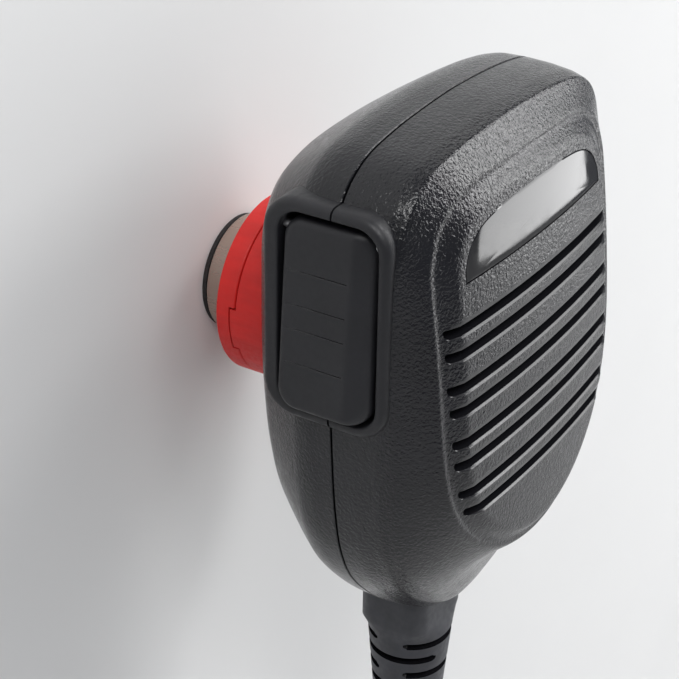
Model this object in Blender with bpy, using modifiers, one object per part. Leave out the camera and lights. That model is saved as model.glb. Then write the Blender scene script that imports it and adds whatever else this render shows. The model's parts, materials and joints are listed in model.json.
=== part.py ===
"""Fist microphone on a magnetic wall button, with its curly cord and round plug.

The frame: the origin is the middle of the wall button's back face. +Y points into the
wall, so the microphone's front faces -Y. +Z is up and the push-to-talk button is at -X.
Sizes in this file are in millimetres; MM turns them into Blender's metres.
"""
import math

import bmesh
import bpy
from mathutils import Matrix, Vector

MM = 0.001

# ---------------------------------------------------------------- driving dimensions
GAP = 0.3                    # air between neighbouring solids

# wall button: a pad, a steel cup and its magnet
PAD_RADIUS = 9.2
PAD_THICKNESS = 0.7
CUP_RADIUS = 9.5
CUP_BACK = -1.0
CUP_FRONT = -9.5
CUP_FLOOR = -5.2
MAGNET_RADIUS = 7.0
GRUB_ANGLE = math.radians(135)
GRUB_Y = -3.1

# strike plate and the red adapter ring
PLATE_RADIUS = 11.4
PLATE_BACK = CUP_FRONT - GAP
PLATE_THICKNESS = 2.0
WASHER_THICKNESS = 0.8
RING_RADIUS = 14.4
RING_BACK = -6.3
RING_SEAM = -9.9
RING_TAB_STEP = 1.0
RING_TAB_FROM = math.radians(172)
RING_TAB_SPAN = math.radians(30)
RING_TABS = 3
RING_TAB_PLAY = math.radians(1.3)
RING_BORE = 9.9
RING_CHAMBER = 12.0
RING_FLOOR = -13.6
STUD_HEAD_RADIUS = 6.5
STUD_RADIUS = 3.0

# microphone shells
BACK_Y = -20.0
PART_Y = -37.3
SEAM = 0.3
WALL = 2.2
CENTRE_Z = -4.0
RING_POINTS = 54
PLATEAU_Y = -53.5            # front plateau at the level of the first slot
PLATEAU_LEVEL = 14.2
PLATEAU_LEAN = 0.13
PLATEAU_BOW = 0.0014
PLATEAU_CROWN = 0.0023
RIDGE_DROP = 1.5

# half outlines, (x, z) from the top middle round the +X side to the bottom middle
PARTING_HALF = [(0, 38.6), (10, 38.2), (17, 37.5), (22.5, 36.4), (26.6, 34.2), (29.2, 31), (30.5, 27),
                (31, 20), (31, 5), (30.3, -7), (29.3, -16), (27.6, -23.5), (24.2, -30.3), (17.5, -37.8),
                (10, -44), (5, -46.8), (0, -47.6)]
BACK_HALF = [(0, 29.6), (9, 29.3), (14, 28.4), (18, 26.6), (20.6, 23.5), (21.8, 19.5), (22, 14), (22, 3),
             (21.3, -6), (20.2, -13), (18.2, -19.5), (15.2, -25), (11, -30.5), (6.5, -35), (3, -37.2),
             (0, -37.8)]
RIDGE_HALF = [(0, 33.5), (8, 33.3), (15, 32.8), (20, 31.5), (24, 28.5), (26, 24.5), (26.5, 20), (26.5, 5),
              (26.3, -3), (25.4, -9), (23.6, -14), (20.6, -18.5), (16, -22.8), (10.5, -26), (5, -27.6),
              (0, -28.1)]
PLATEAU_HALF = [(0, 30.4), (8, 30.2), (14, 29.6), (18.5, 28), (21, 25.2), (22, 21.5), (22, 10), (22, -3),
                (21.2, -9), (19.2, -14), (15.5, -18.8), (10.5, -22.6), (5, -24.8), (0, -25.4)]

# sound slots and label window
SLOT_TOP = 14.2              # lower edge of the first slot
SLOT_PITCH = 3.45
SLOT_PAIR_PITCH = 4.93
SLOT_HEIGHT = 1.9
SLOT_HALF_LENGTHS = [24.8, 24.8, 24.8, 24.6, 24.4, 24.1, 23.2, 21.9]
LABEL_HALF = [(20.3, 20.7), (20.0, 23.0), (18.2, 25.6), (14.6, 27.4), (8.5, 28.3), (0, 28.6)]
LABEL_DEPTH = 1.0

# push-to-talk button, its pocket and hinge
POCKET_Y = (-44.5, -29.0)
POCKET_Z = (0.7, 30.2)
POCKET_CORNER = 3.4
BEZEL_Y = (-46.9, -26.4)
BEZEL_Z = (-1.9, 33.0)
BEZEL_CORNER = 5.6
BEZEL_FACE = -31.8
POCKET_INNER = -26.0
BUTTON_Y = (-44.0, -29.8)
BUTTON_Z = (1.4, 29.3)
BUTTON_BACK = -27.5
BUTTON_TOP_FACE = -31.2
BUTTON_FOOT_FACE = -33.3
FACET_Y = -40.0
FACET_DROP = 1.5
GROOVE_LEVELS = [22.0, 17.1, 13.6, 8.6]
PIN_X = -29.2
PIN_Z = 27.4
PIN_RADIUS = 0.7
SWITCH_Z = 8.0
SWITCH_Y = -36.3
SPRING_Z = 16.2

# board, capsule and case screws
BOARD_Y = (-40.6, -39.4)
CAPSULE_Z = -2.0
CAPSULE_RADIUS = 4.85
CASE_SCREWS = [(13.0, 23.5), (-13.0, 23.5), (8.2, -27.0), (-8.2, -27.0)]
BOSS_RADIUS = 4.0
BOARD_X = (-25.2, 24.0)
BOARD_Z = (-22.8, 19.2)
BOARD_SCREWS = [(20.5, 15.0), (20.5, -17.0)]

# strain relief, cord and plug, all on one plumb line
CORD_Y = -34.0
CORD_RADIUS = 2.3
COLLAR = (15.0, 12.0)
COLLAR_CORNER = 3.0
COLLAR_TOP = -38.1
COLLAR_END = -51.8
RELIEF_TOP = -54.6
RELIEF_TIP = -92.0
RELIEF_TOP_RADIUS = 7.0
RELIEF_TIP_RADIUS = 3.8
RELIEF_BORE = CORD_RADIUS + GAP
RELIEF_CORE = 3.7
RELIEF_ROWS = 10
RELIEF_ROW_TOP = -55.4
RELIEF_ROW_PITCH = 3.15
RELIEF_SLOT = 1.3
RELIEF_SLOT_HALF_ANGLE = math.radians(70)
RELIEF_FLANGE = (17.0, 12.8, 2.5)        # width, depth and corner of the flange inside the case
RELIEF_SHOULDER = (14.3, 13.0, 5.4)      # the same for the step between collar and taper
LEAD_TOP = RELIEF_TIP - 2 * GAP          # stays clear of the relief's tip as the cord swings
COIL_TOP = -104.3
COIL_END = -222.0
COIL_RADIUS = 7.9
TAIL_END = -230.0
PLUG_TOP = TAIL_END - GAP
PLUG_BODY_TOP = -238.0
PLUG_SHOULDER = -254.0
PLUG_END = -266.0
PLUG_CONTACTS = 7

MODEL = "fist_microphone"


# ---------------------------------------------------------------- scene and helpers
def clear_scene():
    for obj in list(bpy.data.objects):
        bpy.data.objects.remove(obj, do_unlink=True)


def collection(name):
    made = bpy.data.collections.new(name)
    bpy.context.scene.collection.children.link(made)
    return made


def material(name, color, roughness, metallic=0.0):
    made = bpy.data.materials.new(name)
    made.use_nodes = True
    shader = made.node_tree.nodes["Principled BSDF"]
    shader.inputs["Base Color"].default_value = (*color, 1.0)
    shader.inputs["Roughness"].default_value = roughness
    shader.inputs["Metallic"].default_value = metallic
    return made


clear_scene()
PARTS = collection(MODEL)
CUTTERS = collection(MODEL + "_cutters")

MATERIALS = {
    "black_shell": material("black_shell", (0.018, 0.018, 0.020), 0.55),
    "black_button": material("black_button", (0.014, 0.014, 0.016), 0.5),
    "gloss_black": material("gloss_black", (0.008, 0.008, 0.010), 0.06),
    "red_plastic": material("red_plastic", (0.55, 0.022, 0.018), 0.5),
    "nickel": material("nickel", (0.55, 0.50, 0.45), 0.3, 1.0),
    "steel": material("steel", (0.45, 0.45, 0.46), 0.35, 1.0),
    "magnet": material("magnet", (0.32, 0.32, 0.33), 0.35, 1.0),
    "pad_foam": material("pad_foam", (0.03, 0.03, 0.03), 0.9),
    "rubber": material("rubber", (0.022, 0.022, 0.025), 0.6),
    "switch_body": material("switch_body", (0.03, 0.03, 0.035), 0.5),
    "cord_rubber": material("cord_rubber", (0.016, 0.016, 0.018), 0.45),
    "felt": material("felt", (0.02, 0.02, 0.02), 1.0),
    "board_green": material("board_green", (0.02, 0.13, 0.05), 0.45),
    "nylon": material("nylon", (0.75, 0.73, 0.68), 0.5),
    "brass": material("brass", (0.60, 0.42, 0.16), 0.3, 1.0),
    "wire_red": material("wire_red", (0.5, 0.02, 0.02), 0.45),
}


def finish(obj, name, slot):
    """Name an object, give it its material and smooth its round faces."""
    obj.name = name
    obj.data.name = name
    obj.data.materials.clear()
    obj.data.materials.append(MATERIALS[slot])
    obj.data.shade_smooth()
    obj.data.set_sharp_from_angle(angle=math.radians(32))
    return obj


def from_bmesh(name, shape, slot, home=None):
    """Make an object from a closed bmesh whose coordinates are in millimetres."""
    bmesh.ops.remove_doubles(shape, verts=shape.verts, dist=1e-4)
    bmesh.ops.recalc_face_normals(shape, faces=shape.faces)
    bmesh.ops.scale(shape, vec=(MM, MM, MM), verts=shape.verts)
    mesh = bpy.data.meshes.new(name)
    shape.to_mesh(mesh)
    shape.free()
    obj = bpy.data.objects.new(name, mesh)
    (home or PARTS).objects.link(obj)
    return finish(obj, name, slot)


def set_origin(obj, x, y, z):
    """Put an object's origin on its joint without moving its shape."""
    point = Vector((x, y, z)) * MM
    obj.data.transform(Matrix.Translation(-point))
    obj.location = point


def as_cutter(obj):
    for home in list(obj.users_collection):
        home.objects.unlink(obj)
    CUTTERS.objects.link(obj)
    obj.hide_render = True
    obj.display_type = "WIRE"
    return obj


def boolean(target, tool, operation):
    step = target.modifiers.new(operation.lower(), "BOOLEAN")
    step.operation = operation
    step.object = as_cutter(tool)
    return target


def cut(target, tool):
    return boolean(target, tool, "DIFFERENCE")


def join(target, tool):
    return boolean(target, tool, "UNION")


def box(name, low, high, slot):
    shape = bmesh.new()
    bmesh.ops.create_cube(shape, size=1.0)
    size = Vector(high) - Vector(low)
    middle = (Vector(high) + Vector(low)) / 2
    bmesh.ops.scale(shape, vec=size, verts=shape.verts)
    bmesh.ops.translate(shape, vec=middle, verts=shape.verts)
    return from_bmesh(name, shape, slot)


TURN = {
    "X": Matrix(((0, 0, 1), (1, 0, 0), (0, 1, 0))),
    "Y": Matrix(((1, 0, 0), (0, 0, 1), (0, 1, 0))),
    "Z": Matrix(((1, 0, 0), (0, 1, 0), (0, 0, 1))),
}


def slab(name, outline, axis, low, high, slot):
    """A flat outline in the plane across axis, from low to high along it."""
    curve = bpy.data.curves.new(name, "CURVE")
    curve.dimensions = "2D"
    curve.fill_mode = "BOTH"
    curve.extrude = (high - low) / 2
    for ring in outline if isinstance(outline[0], list) else [outline]:
        spline = curve.splines.new("POLY")
        spline.points.add(len(ring) - 1)
        for point, (u, v) in zip(spline.points, ring):
            point.co = (u, v, 0, 1)
        spline.use_cyclic_u = True
    holder = bpy.data.objects.new(name, curve)
    bpy.context.scene.collection.objects.link(holder)
    mesh = bpy.data.meshes.new_from_object(holder.evaluated_get(bpy.context.evaluated_depsgraph_get()))
    bpy.data.objects.remove(holder, do_unlink=True)
    shape = bmesh.new()
    shape.from_mesh(mesh)
    bmesh.ops.translate(shape, vec=(0, 0, (low + high) / 2), verts=shape.verts)
    bmesh.ops.transform(shape, matrix=TURN[axis].to_4x4(), verts=shape.verts)
    return from_bmesh(name, shape, slot)


def turned(name, profile, axis, middle, slot, steps=36):
    """A profile of (radius, place along axis), turned about the axis through middle."""
    mesh = bpy.data.meshes.new(name)
    points = [(r, 0, h) for r, h in profile]
    closed = profile[0][0] > 0 and profile[-1][0] > 0
    edges = [(i, i + 1) for i in range(len(points) - 1)]
    if closed:
        edges.append((len(points) - 1, 0))
    mesh.from_pydata(points, edges, [])
    holder = bpy.data.objects.new(name, mesh)
    bpy.context.scene.collection.objects.link(holder)
    screw = holder.modifiers.new("turn", "SCREW")
    screw.steps = steps
    screw.render_steps = steps
    screw.use_merge_vertices = True
    screw.merge_threshold = 0.0001
    solid = bpy.data.meshes.new_from_object(holder.evaluated_get(bpy.context.evaluated_depsgraph_get()))
    bpy.data.objects.remove(holder, do_unlink=True)
    shape = bmesh.new()
    shape.from_mesh(solid)
    bmesh.ops.transform(shape, matrix=TURN[axis].to_4x4(), verts=shape.verts)
    bmesh.ops.translate(shape, vec=middle, verts=shape.verts)
    return from_bmesh(name, shape, slot)


def rod(name, axis, middle, low, high, radius, slot, steps=24):
    """A plain round bar along an axis."""
    return turned(name, [(0, high), (radius, high), (radius, low), (0, low)], axis, middle, slot, steps)


def tube(name, points, radius, slot, resolution=2):
    """A round wire through hand-placed points."""
    curve = bpy.data.curves.new(name, "CURVE")
    curve.dimensions = "3D"
    curve.bevel_depth = radius * MM
    curve.bevel_resolution = resolution
    curve.use_fill_caps = True
    spline = curve.splines.new("POLY")
    spline.points.add(len(points) - 1)
    for point, place in zip(spline.points, points):
        point.co = (place[0] * MM, place[1] * MM, place[2] * MM, 1)
    obj = bpy.data.objects.new(name, curve)
    PARTS.objects.link(obj)
    curve.materials.append(MATERIALS[slot])
    return obj


def catmull(points, closed=False, per=8):
    """Points on a smooth curve through the given ones."""
    made = []
    count = len(points)
    spans = count if closed else count - 1
    for i in range(spans):
        if closed:
            a, b, c, d = (Vector(points[(i + k) % count]) for k in (-1, 0, 1, 2))
        else:
            a, b, c, d = (Vector(points[min(max(i + k, 0), count - 1)]) for k in (-1, 0, 1, 2))
        for step in range(per):
            t = step / per
            made.append(0.5 * (2 * b + (c - a) * t + (2 * a - 5 * b + 4 * c - d) * t * t
                               + (3 * b - a - 3 * c + d) * t ** 3))
    if not closed:
        made.append(Vector(points[-1]))
    return made


def rounded(low, high, corner, per=5):
    """A rounded rectangle between two opposite corners, anticlockwise."""
    made = []
    middles = [(high[0] - corner, high[1] - corner, 0), (low[0] + corner, high[1] - corner, 90),
               (low[0] + corner, low[1] + corner, 180), (high[0] - corner, low[1] + corner, 270)]
    for u, v, start in middles:
        for step in range(per + 1):
            angle = math.radians(start + 90 * step / per)
            made.append((u + corner * math.cos(angle), v + corner * math.sin(angle)))
    return made


def arc_sector(inner, outer, middle_angle, half_angle, centre, per=8):
    """Part of a flat ring, used to cut slots and notches."""
    angles = [middle_angle - half_angle + 2 * half_angle * i / per for i in range(per + 1)]
    out = [(centre[0] + outer * math.cos(a), centre[1] + outer * math.sin(a)) for a in angles]
    back = [(centre[0] + inner * math.cos(a), centre[1] + inner * math.sin(a)) for a in reversed(angles)]
    return out + back


def loft(name, rings, slot):
    """Skin rings of equal length; a ring of one point closes an end."""
    shape = bmesh.new()
    rows = [[shape.verts.new(point) for point in ring] for ring in rings]
    for row, following in zip(rows, rows[1:]):
        count = max(len(row), len(following))
        for i in range(count):
            j = (i + 1) % count
            if len(row) == 1:
                shape.faces.new((row[0], following[i], following[j]))
            elif len(following) == 1:
                shape.faces.new((row[i], following[0], row[j]))
            else:
                shape.faces.new((row[i], following[i], following[j], row[j]))
    for row in (rows[0], rows[-1]):
        if len(row) > 1:
            shape.faces.new(row)
    return from_bmesh(name, shape, slot)


# ---------------------------------------------------------------- shell outlines
def whole(half):
    """Mirror a half outline about x = 0 and smooth it."""
    points = half + [(-x, z) for x, z in reversed(half[1:-1])]
    return catmull(points, closed=True, per=10)


def bearing(point):
    """Clockwise angle of a point from straight up, seen from the front."""
    return math.atan2(point[0], point[1] - CENTRE_Z) % (2 * math.pi)


def shared_bearings():
    """Bearings of points spaced evenly along the parting outline."""
    outline = whole(PARTING_HALF)
    lengths = [0.0]
    for a, b in zip(outline, outline[1:] + outline[:1]):
        lengths.append(lengths[-1] + (b - a).length)
    made = []
    for i in range(RING_POINTS):
        want = lengths[-1] * i / RING_POINTS
        k = max(n for n in range(len(outline)) if lengths[n] <= want + 1e-9)
        t = (want - lengths[k]) / (lengths[k + 1] - lengths[k])
        made.append(bearing(outline[k].lerp(outline[(k + 1) % len(outline)], t)))
    return made


def at_bearings(half, bearings):
    """Points of an outline at the shared bearings."""
    outline = whole(half)
    made = []
    for want in bearings:
        ray = Vector((math.sin(want), math.cos(want)))
        for a, b in zip(outline, outline[1:] + outline[:1]):
            a0 = a - Vector((0, CENTRE_Z))
            b0 = b - Vector((0, CENTRE_Z))
            side_a = ray.x * a0.y - ray.y * a0.x
            side_b = ray.x * b0.y - ray.y * b0.x
            if side_a >= 0 > side_b and a0.dot(ray) > 0:
                hit = a.lerp(b, side_a / (side_a - side_b))
                made.append(hit)
                break
    return made


def blend(first, second, t):
    return [a.lerp(b, t) for a, b in zip(first, second)]


def inset(ring, depth):
    """Move a ring's points inwards along their normals."""
    made = []
    count = len(ring)
    for i, point in enumerate(ring):
        along = (ring[(i + 1) % count] - ring[i - 1]).normalized()
        made.append(point + Vector((along.y, -along.x)) * depth)
    return made


def scaled(ring, factor):
    middle = Vector((0, CENTRE_Z + 6))
    return [middle + (point - middle) * factor for point in ring]


def plateau_y(x, z):
    """Depth of the gently crowned front plateau."""
    rise = z - PLATEAU_LEVEL
    return PLATEAU_Y + PLATEAU_LEAN * rise + PLATEAU_BOW * rise * rise + PLATEAU_CROWN * x * x


def ridge_y(x, z):
    return plateau_y(x, z) + RIDGE_DROP


def flat_ring(ring, y):
    return [(p.x, y, p.y) for p in ring]


def draped_ring(ring, depth, extra=0.0):
    return [(p.x, depth(p.x, p.y) + extra, p.y) for p in ring]


BEARINGS = shared_bearings()
PARTING = at_bearings(PARTING_HALF, BEARINGS)
BACK = at_bearings(BACK_HALF, BEARINGS)
RIDGE = at_bearings(RIDGE_HALF, BEARINGS)
PLATEAU = at_bearings(PLATEAU_HALF, BEARINGS)


# ---------------------------------------------------------------- shells
def shoulder_rings(first_t, last_t, from_y, count):
    """Rings over the rounded shoulder between the side wall and the front ridge."""
    made = []
    for i in range(1, count + 1):
        s = i / count
        ring = blend(PARTING, RIDGE, first_t + (last_t - first_t) * s)
        made.append([(p.x, from_y + (ridge_y(p.x, p.y) - from_y) * s ** 0.85, p.y) for p in ring])
    return made


def front_skin():
    face = PART_Y - SEAM / 2
    outer = [flat_ring(PARTING, face), flat_ring(blend(PARTING, RIDGE, 0.02), -41.0),
             flat_ring(blend(PARTING, RIDGE, 0.09), -44.5), flat_ring(blend(PARTING, RIDGE, 0.2), -46.6)]
    outer += shoulder_rings(0.2, 1.0, -46.6, 3)
    outer += [draped_ring(PLATEAU, plateau_y)]
    outer += [draped_ring(scaled(PLATEAU, k), plateau_y) for k in (0.62, 0.3)]
    outer += [[(0, plateau_y(0, CENTRE_Z + 6), CENTRE_Z + 6)]]
    inner = [flat_ring(inset(PARTING, WALL), face),
             flat_ring(inset(blend(PARTING, RIDGE, 0.09), WALL), -43.6),
             flat_ring(inset(blend(PARTING, RIDGE, 0.35), WALL), -46.4),
             draped_ring(inset(RIDGE, WALL), ridge_y, WALL),
             draped_ring(inset(PLATEAU, 1.0), plateau_y, WALL + 0.1),
             draped_ring(scaled(PLATEAU, 0.5), plateau_y, WALL),
             [(0, plateau_y(0, CENTRE_Z + 6) + WALL, CENTRE_Z + 6)]]
    return loft("front_shell", list(reversed(inner)) + outer, "black_shell")


def rear_skin():
    face = PART_Y + SEAM / 2
    steps = [(0.0, face), (0.01, -33.5), (0.08, -31.0), (0.28, -28.0), (0.5, -25.0), (0.72, -22.2),
             (0.93, -20.4), (1.0, BACK_Y)]
    outer = [flat_ring(blend(PARTING, BACK, t), y) for t, y in steps]
    inner = [flat_ring(inset(PARTING, WALL), face), flat_ring(inset(PARTING, WALL), -32.5),
             flat_ring(inset(blend(PARTING, BACK, 0.4), WALL), -28.2),
             flat_ring(inset(blend(PARTING, BACK, 0.95), WALL), BACK_Y - WALL)]
    return loft("rear_shell", list(reversed(inner)) + outer, "black_shell")


def bezel(name, y_low, y_high):
    """The raised frame round the button, with the pocket's walls, on one shell."""
    outline = rounded((BEZEL_Y[0], BEZEL_Z[0]), (BEZEL_Y[1], BEZEL_Z[1]), BEZEL_CORNER, 5)
    frame = slab(name, outline, "X", BEZEL_FACE, POCKET_INNER, "black_shell")
    keep = box(name + "_keep", (-40, y_low, -10), (-20, y_high, 40), "black_shell")
    return boolean(frame, keep, "INTERSECT")


def pocket_cutter(name):
    outline = rounded((POCKET_Y[0], POCKET_Z[0]), (POCKET_Y[1], POCKET_Z[1]), POCKET_CORNER, 4)
    return slab(name, outline, "X", -40.0, POCKET_INNER + 2.0, "black_shell")


def pin_socket_cutter(name):
    return rod(name, "Y", (PIN_X, 0, PIN_Z), POCKET_Y[0] - 1.6, POCKET_Y[1] + 1.6, PIN_RADIUS + GAP,
               "black_shell", 16)


def collar_cutter(name):
    half_x = COLLAR[0] / 2 + GAP
    half_y = COLLAR[1] / 2 + GAP
    outline = rounded((-half_x, CORD_Y - half_y), (half_x, CORD_Y + half_y), COLLAR_CORNER + GAP, 4)
    return slab(name, outline, "Z", -60.0, COLLAR_TOP + GAP, "black_shell")


def label_outline(grow=0.0):
    """Straight lower edge, arched top, as (x, z)."""
    right = catmull(LABEL_HALF, per=4)
    ring = [(p.x, p.y) for p in right] + [(-p.x, p.y) for p in reversed(right[:-1])]
    middle = 24.4
    wide = 1 + grow / 20.3
    tall = 1 + grow / 3.9
    return [(x * wide, middle + (z - middle) * tall) for x, z in ring]


def crowned_plate(name, outline, extra_back, extra_front, slot):
    """A thin plate that follows the plateau's crown."""
    columns = 15
    low = min(x for x, z in outline)
    high = max(x for x, z in outline)
    rings = []
    for i in range(columns + 1):
        x = low + (high - low) * (i + 0.02) / (columns + 0.04)
        levels = sorted(crossing_levels(outline, x))
        bottom, top = levels[0], levels[-1]
        rings.append([(x, plateau_y(x, bottom) + extra_back, bottom),
                      (x, plateau_y(x, bottom) + extra_front, bottom),
                      (x, plateau_y(x, top) + extra_front, top),
                      (x, plateau_y(x, top) + extra_back, top)])
    return loft(name, rings, slot)


def crossing_levels(outline, x):
    """Heights at which an outline crosses a vertical line."""
    made = []
    for (x0, z0), (x1, z1) in zip(outline, outline[1:] + outline[:1]):
        if (x0 - x) * (x1 - x) < 0:
            made.append(z0 + (z1 - z0) * (x - x0) / (x1 - x0))
    return made


def slot_levels():
    """Lower edges of the eight sound slots, in four pairs."""
    level = SLOT_TOP
    made = []
    for number in range(len(SLOT_HALF_LENGTHS)):
        made.append(level)
        level -= SLOT_PITCH if number % 2 == 0 else SLOT_PAIR_PITCH
    return made


def sound_slots(shell):
    for number, (level, half) in enumerate(zip(slot_levels(), SLOT_HALF_LENGTHS), start=1):
        outline = rounded((-half, level), (half, level + SLOT_HEIGHT), SLOT_HEIGHT / 2 - 0.01, 2)
        cut(shell, slab(f"slot_cutter_{number}", outline, "Y", -62.0, -47.9, "black_shell"))


def screw_bosses(shell, side):
    """Case screw posts; the rear ones hold the heads in counterbores."""
    for number, (x, z) in enumerate(CASE_SCREWS, start=1):
        name = f"{side}_boss_{number}"
        if side == "rear":
            join(shell, rod(name, "Y", (x, 0, z), PART_Y + 0.6, BACK_Y - 1.0, BOSS_RADIUS, "black_shell", 16))
            cut(shell, rod(name + "_hole", "Y", (x, 0, z), PART_Y - 1, BACK_Y + 5, 1.8, "black_shell", 12))
            cut(shell, rod(name + "_sink", "Y", (x, 0, z), BACK_Y - 2.9, BACK_Y + 5, 3.1, "black_shell", 24))
        else:
            reach = plateau_y(x, z) + WALL - 1.0
            reach = max(reach, -51.0)
            join(shell, rod(name, "Y", (x, 0, z), reach, PART_Y - 0.6, 3.7, "black_shell", 14))
            cut(shell, rod(name + "_hole", "Y", (x, 0, z), -46.0, PART_Y, 1.8, "black_shell", 12))


def board_posts(shell):
    for number, (x, z) in enumerate(BOARD_SCREWS, start=1):
        join(shell, rod(f"board_post_{number}", "Y", (x, 0, z), plateau_y(x, z) + WALL - 1.0,
                        BOARD_Y[0] - GAP, 2.7, "black_shell", 12))
        cut(shell, rod(f"board_post_hole_{number}", "Y", (x, 0, z), -46.5, -38.0, 1.2, "black_shell", 10))


def make_shells():
    rear = rear_skin()
    join(rear, bezel("bezel_rear", PART_Y + SEAM / 2, BEZEL_Y[1] + 1))
    screw_bosses(rear, "rear")
    cut(rear, rod("stud_hole", "Y", (0, 0, 0), BACK_Y - 8, BACK_Y + 5, STUD_RADIUS + GAP, "black_shell", 20))
    front = front_skin()
    join(front, bezel("bezel_front", BEZEL_Y[0] - 1, PART_Y - SEAM / 2))
    screw_bosses(front, "front")
    board_posts(front)
    sound_slots(front)
    cut(front, crowned_plate("label_recess", label_outline(GAP), LABEL_DEPTH + GAP, -4.0, "black_shell"))
    for shell, side in ((rear, "rear"), (front, "front")):
        cut(shell, pocket_cutter("pocket_" + side))
        cut(shell, pin_socket_cutter("pin_socket_" + side))
        cut(shell, collar_cutter("collar_" + side))
    crowned_plate("label_window", label_outline(), LABEL_DEPTH, 0.05, "gloss_black")


# ---------------------------------------------------------------- wall button
def make_wall_button():
    rod("wall_pad", "Y", (0, 0, 0), -PAD_THICKNESS, 0.0, PAD_RADIUS, "pad_foam", 36)
    hole = 1.7
    profile = [(0, CUP_BACK), (CUP_RADIUS - 0.3, CUP_BACK), (CUP_RADIUS, CUP_BACK - 0.3),
               (CUP_RADIUS, CUP_FRONT + 0.5), (CUP_RADIUS - 0.5, CUP_FRONT),
               (MAGNET_RADIUS + GAP, CUP_FRONT), (MAGNET_RADIUS + GAP, CUP_FLOOR),
               (hole, CUP_FLOOR), (hole, CUP_BACK - 1.2), (0, CUP_BACK - 1.2)]
    cup = turned("magnet_cup", profile, "Y", (0, 0, 0), "nickel", 44)
    cut(cup, grub_bar("grub_hole", 1.6, CUP_RADIUS + 1, 1.0 + 0.1))
    profile = [(2.4, CUP_FLOOR - GAP), (MAGNET_RADIUS, CUP_FLOOR - GAP), (MAGNET_RADIUS, CUP_FRONT + GAP),
               (4.1, CUP_FRONT + GAP), (4.1, CUP_FRONT + 2.2), (2.4, CUP_FRONT + 2.2)]
    turned("cup_magnet", profile, "Y", (0, 0, 0), "magnet", 24)
    profile = [(0, -2.6), (1.4, -2.6), (1.4, CUP_FRONT + 1.9), (3.7, CUP_FRONT + 1.9),
               (3.7, CUP_FRONT + 0.5), (0, CUP_FRONT + 0.5)]
    screw = turned("magnet_screw", profile, "Y", (0, 0, 0), "steel", 18)
    cut(screw, hex_bar("magnet_screw_socket", "Y", (0, 0, 0), CUP_FRONT - 1, CUP_FRONT + 1.6, 2.5))
    grub_bar("grub_screw", 3.0, CUP_RADIUS - 0.8, 0.95, PARTS, "steel")


def grub_bar(name, start, end, radius, home=None, slot="steel"):
    """A radial bar in the cup's wall, where the grub screw sits."""
    bar = rod(name, "X", (0, 0, 0), start, end, radius, slot, 16)
    turn = Matrix.Rotation(-GRUB_ANGLE, 4, "Y")
    bar.data.transform(turn)
    bar.data.transform(Matrix.Translation((0, GRUB_Y * MM, 0)))
    return bar


def hex_bar(name, axis, middle, low, high, flats, slot="steel"):
    """A six-sided bar, for nuts and key sockets."""
    radius = flats / math.sqrt(3)
    outline = [(radius * math.cos(math.radians(60 * i)), radius * math.sin(math.radians(60 * i)))
               for i in range(6)]
    bar = slab(name, outline, axis, low, high, slot)
    bar.data.transform(Matrix.Translation(Vector(middle) * MM))
    return bar


# ---------------------------------------------------------------- adapter ring
def tab_ring(name, inner, outer, half_span, y_low, y_high):
    """Three sectors where the ring's seam steps towards the wall."""
    shape = bmesh.new()
    for number in range(RING_TABS):
        middle = RING_TAB_FROM + RING_TAB_SPAN / 2 + number * 2 * math.pi / RING_TABS
        ring = arc_sector(inner, outer, middle, half_span, (0, 0))
        low = [shape.verts.new((u, y_low, v)) for u, v in ring]
        high = [shape.verts.new((u, y_high, v)) for u, v in ring]
        shape.faces.new(low)
        shape.faces.new(high)
        for i in range(len(ring)):
            j = (i + 1) % len(ring)
            shape.faces.new((low[i], low[j], high[j], high[i]))
    return from_bmesh(name, shape, "red_plastic")


def make_adapter():
    edge = 0.6
    profile = [(RING_BORE, RING_BACK), (RING_RADIUS - edge, RING_BACK), (RING_RADIUS, RING_BACK - edge),
               (RING_RADIUS, RING_SEAM + GAP), (RING_CHAMBER, RING_SEAM + GAP),
               (RING_CHAMBER, CUP_FRONT + 0.6), (RING_BORE, CUP_FRONT + 0.6)]
    cap = turned("ring_cap", profile, "Y", (0, 0, 0), "red_plastic", 42)
    cut(cap, tab_ring("tab_notch", RING_CHAMBER - 3, RING_RADIUS + 2, RING_TAB_SPAN / 2,
                      RING_SEAM - 1, RING_SEAM + RING_TAB_STEP + GAP))
    bore = STUD_RADIUS + GAP
    seat = RING_FLOOR - 2.4
    profile = [(bore, seat), (STUD_HEAD_RADIUS + GAP, seat), (STUD_HEAD_RADIUS + GAP, RING_FLOOR),
               (RING_CHAMBER, RING_FLOOR), (RING_CHAMBER, RING_SEAM), (RING_RADIUS, RING_SEAM),
               (RING_RADIUS, BACK_Y + GAP), (bore, BACK_Y + GAP)]
    base = turned("ring_base", profile, "Y", (0, 0, 0), "red_plastic", 42)
    join(base, tab_ring("ring_tabs", RING_CHAMBER, RING_RADIUS, RING_TAB_SPAN / 2 - RING_TAB_PLAY,
                        RING_SEAM - 0.8, RING_SEAM + RING_TAB_STEP))
    profile = [(0, seat + 2.1), (STUD_HEAD_RADIUS, seat + 2.1), (STUD_HEAD_RADIUS, seat - GAP + 0.6),
               (STUD_RADIUS, seat - GAP + 0.6), (STUD_RADIUS, -27.5), (0, -27.5)]
    turned("hanger_stud", profile, "Y", (0, 0, 0), "steel", 20)
    nut = hex_bar("stud_nut", "Y", (0, 0, 0), -25.8, BACK_Y - WALL - GAP, 9.0)
    cut(nut, rod("stud_nut_bore", "Y", (0, 0, 0), -30, -20, STUD_RADIUS + GAP, "steel", 24))


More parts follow.
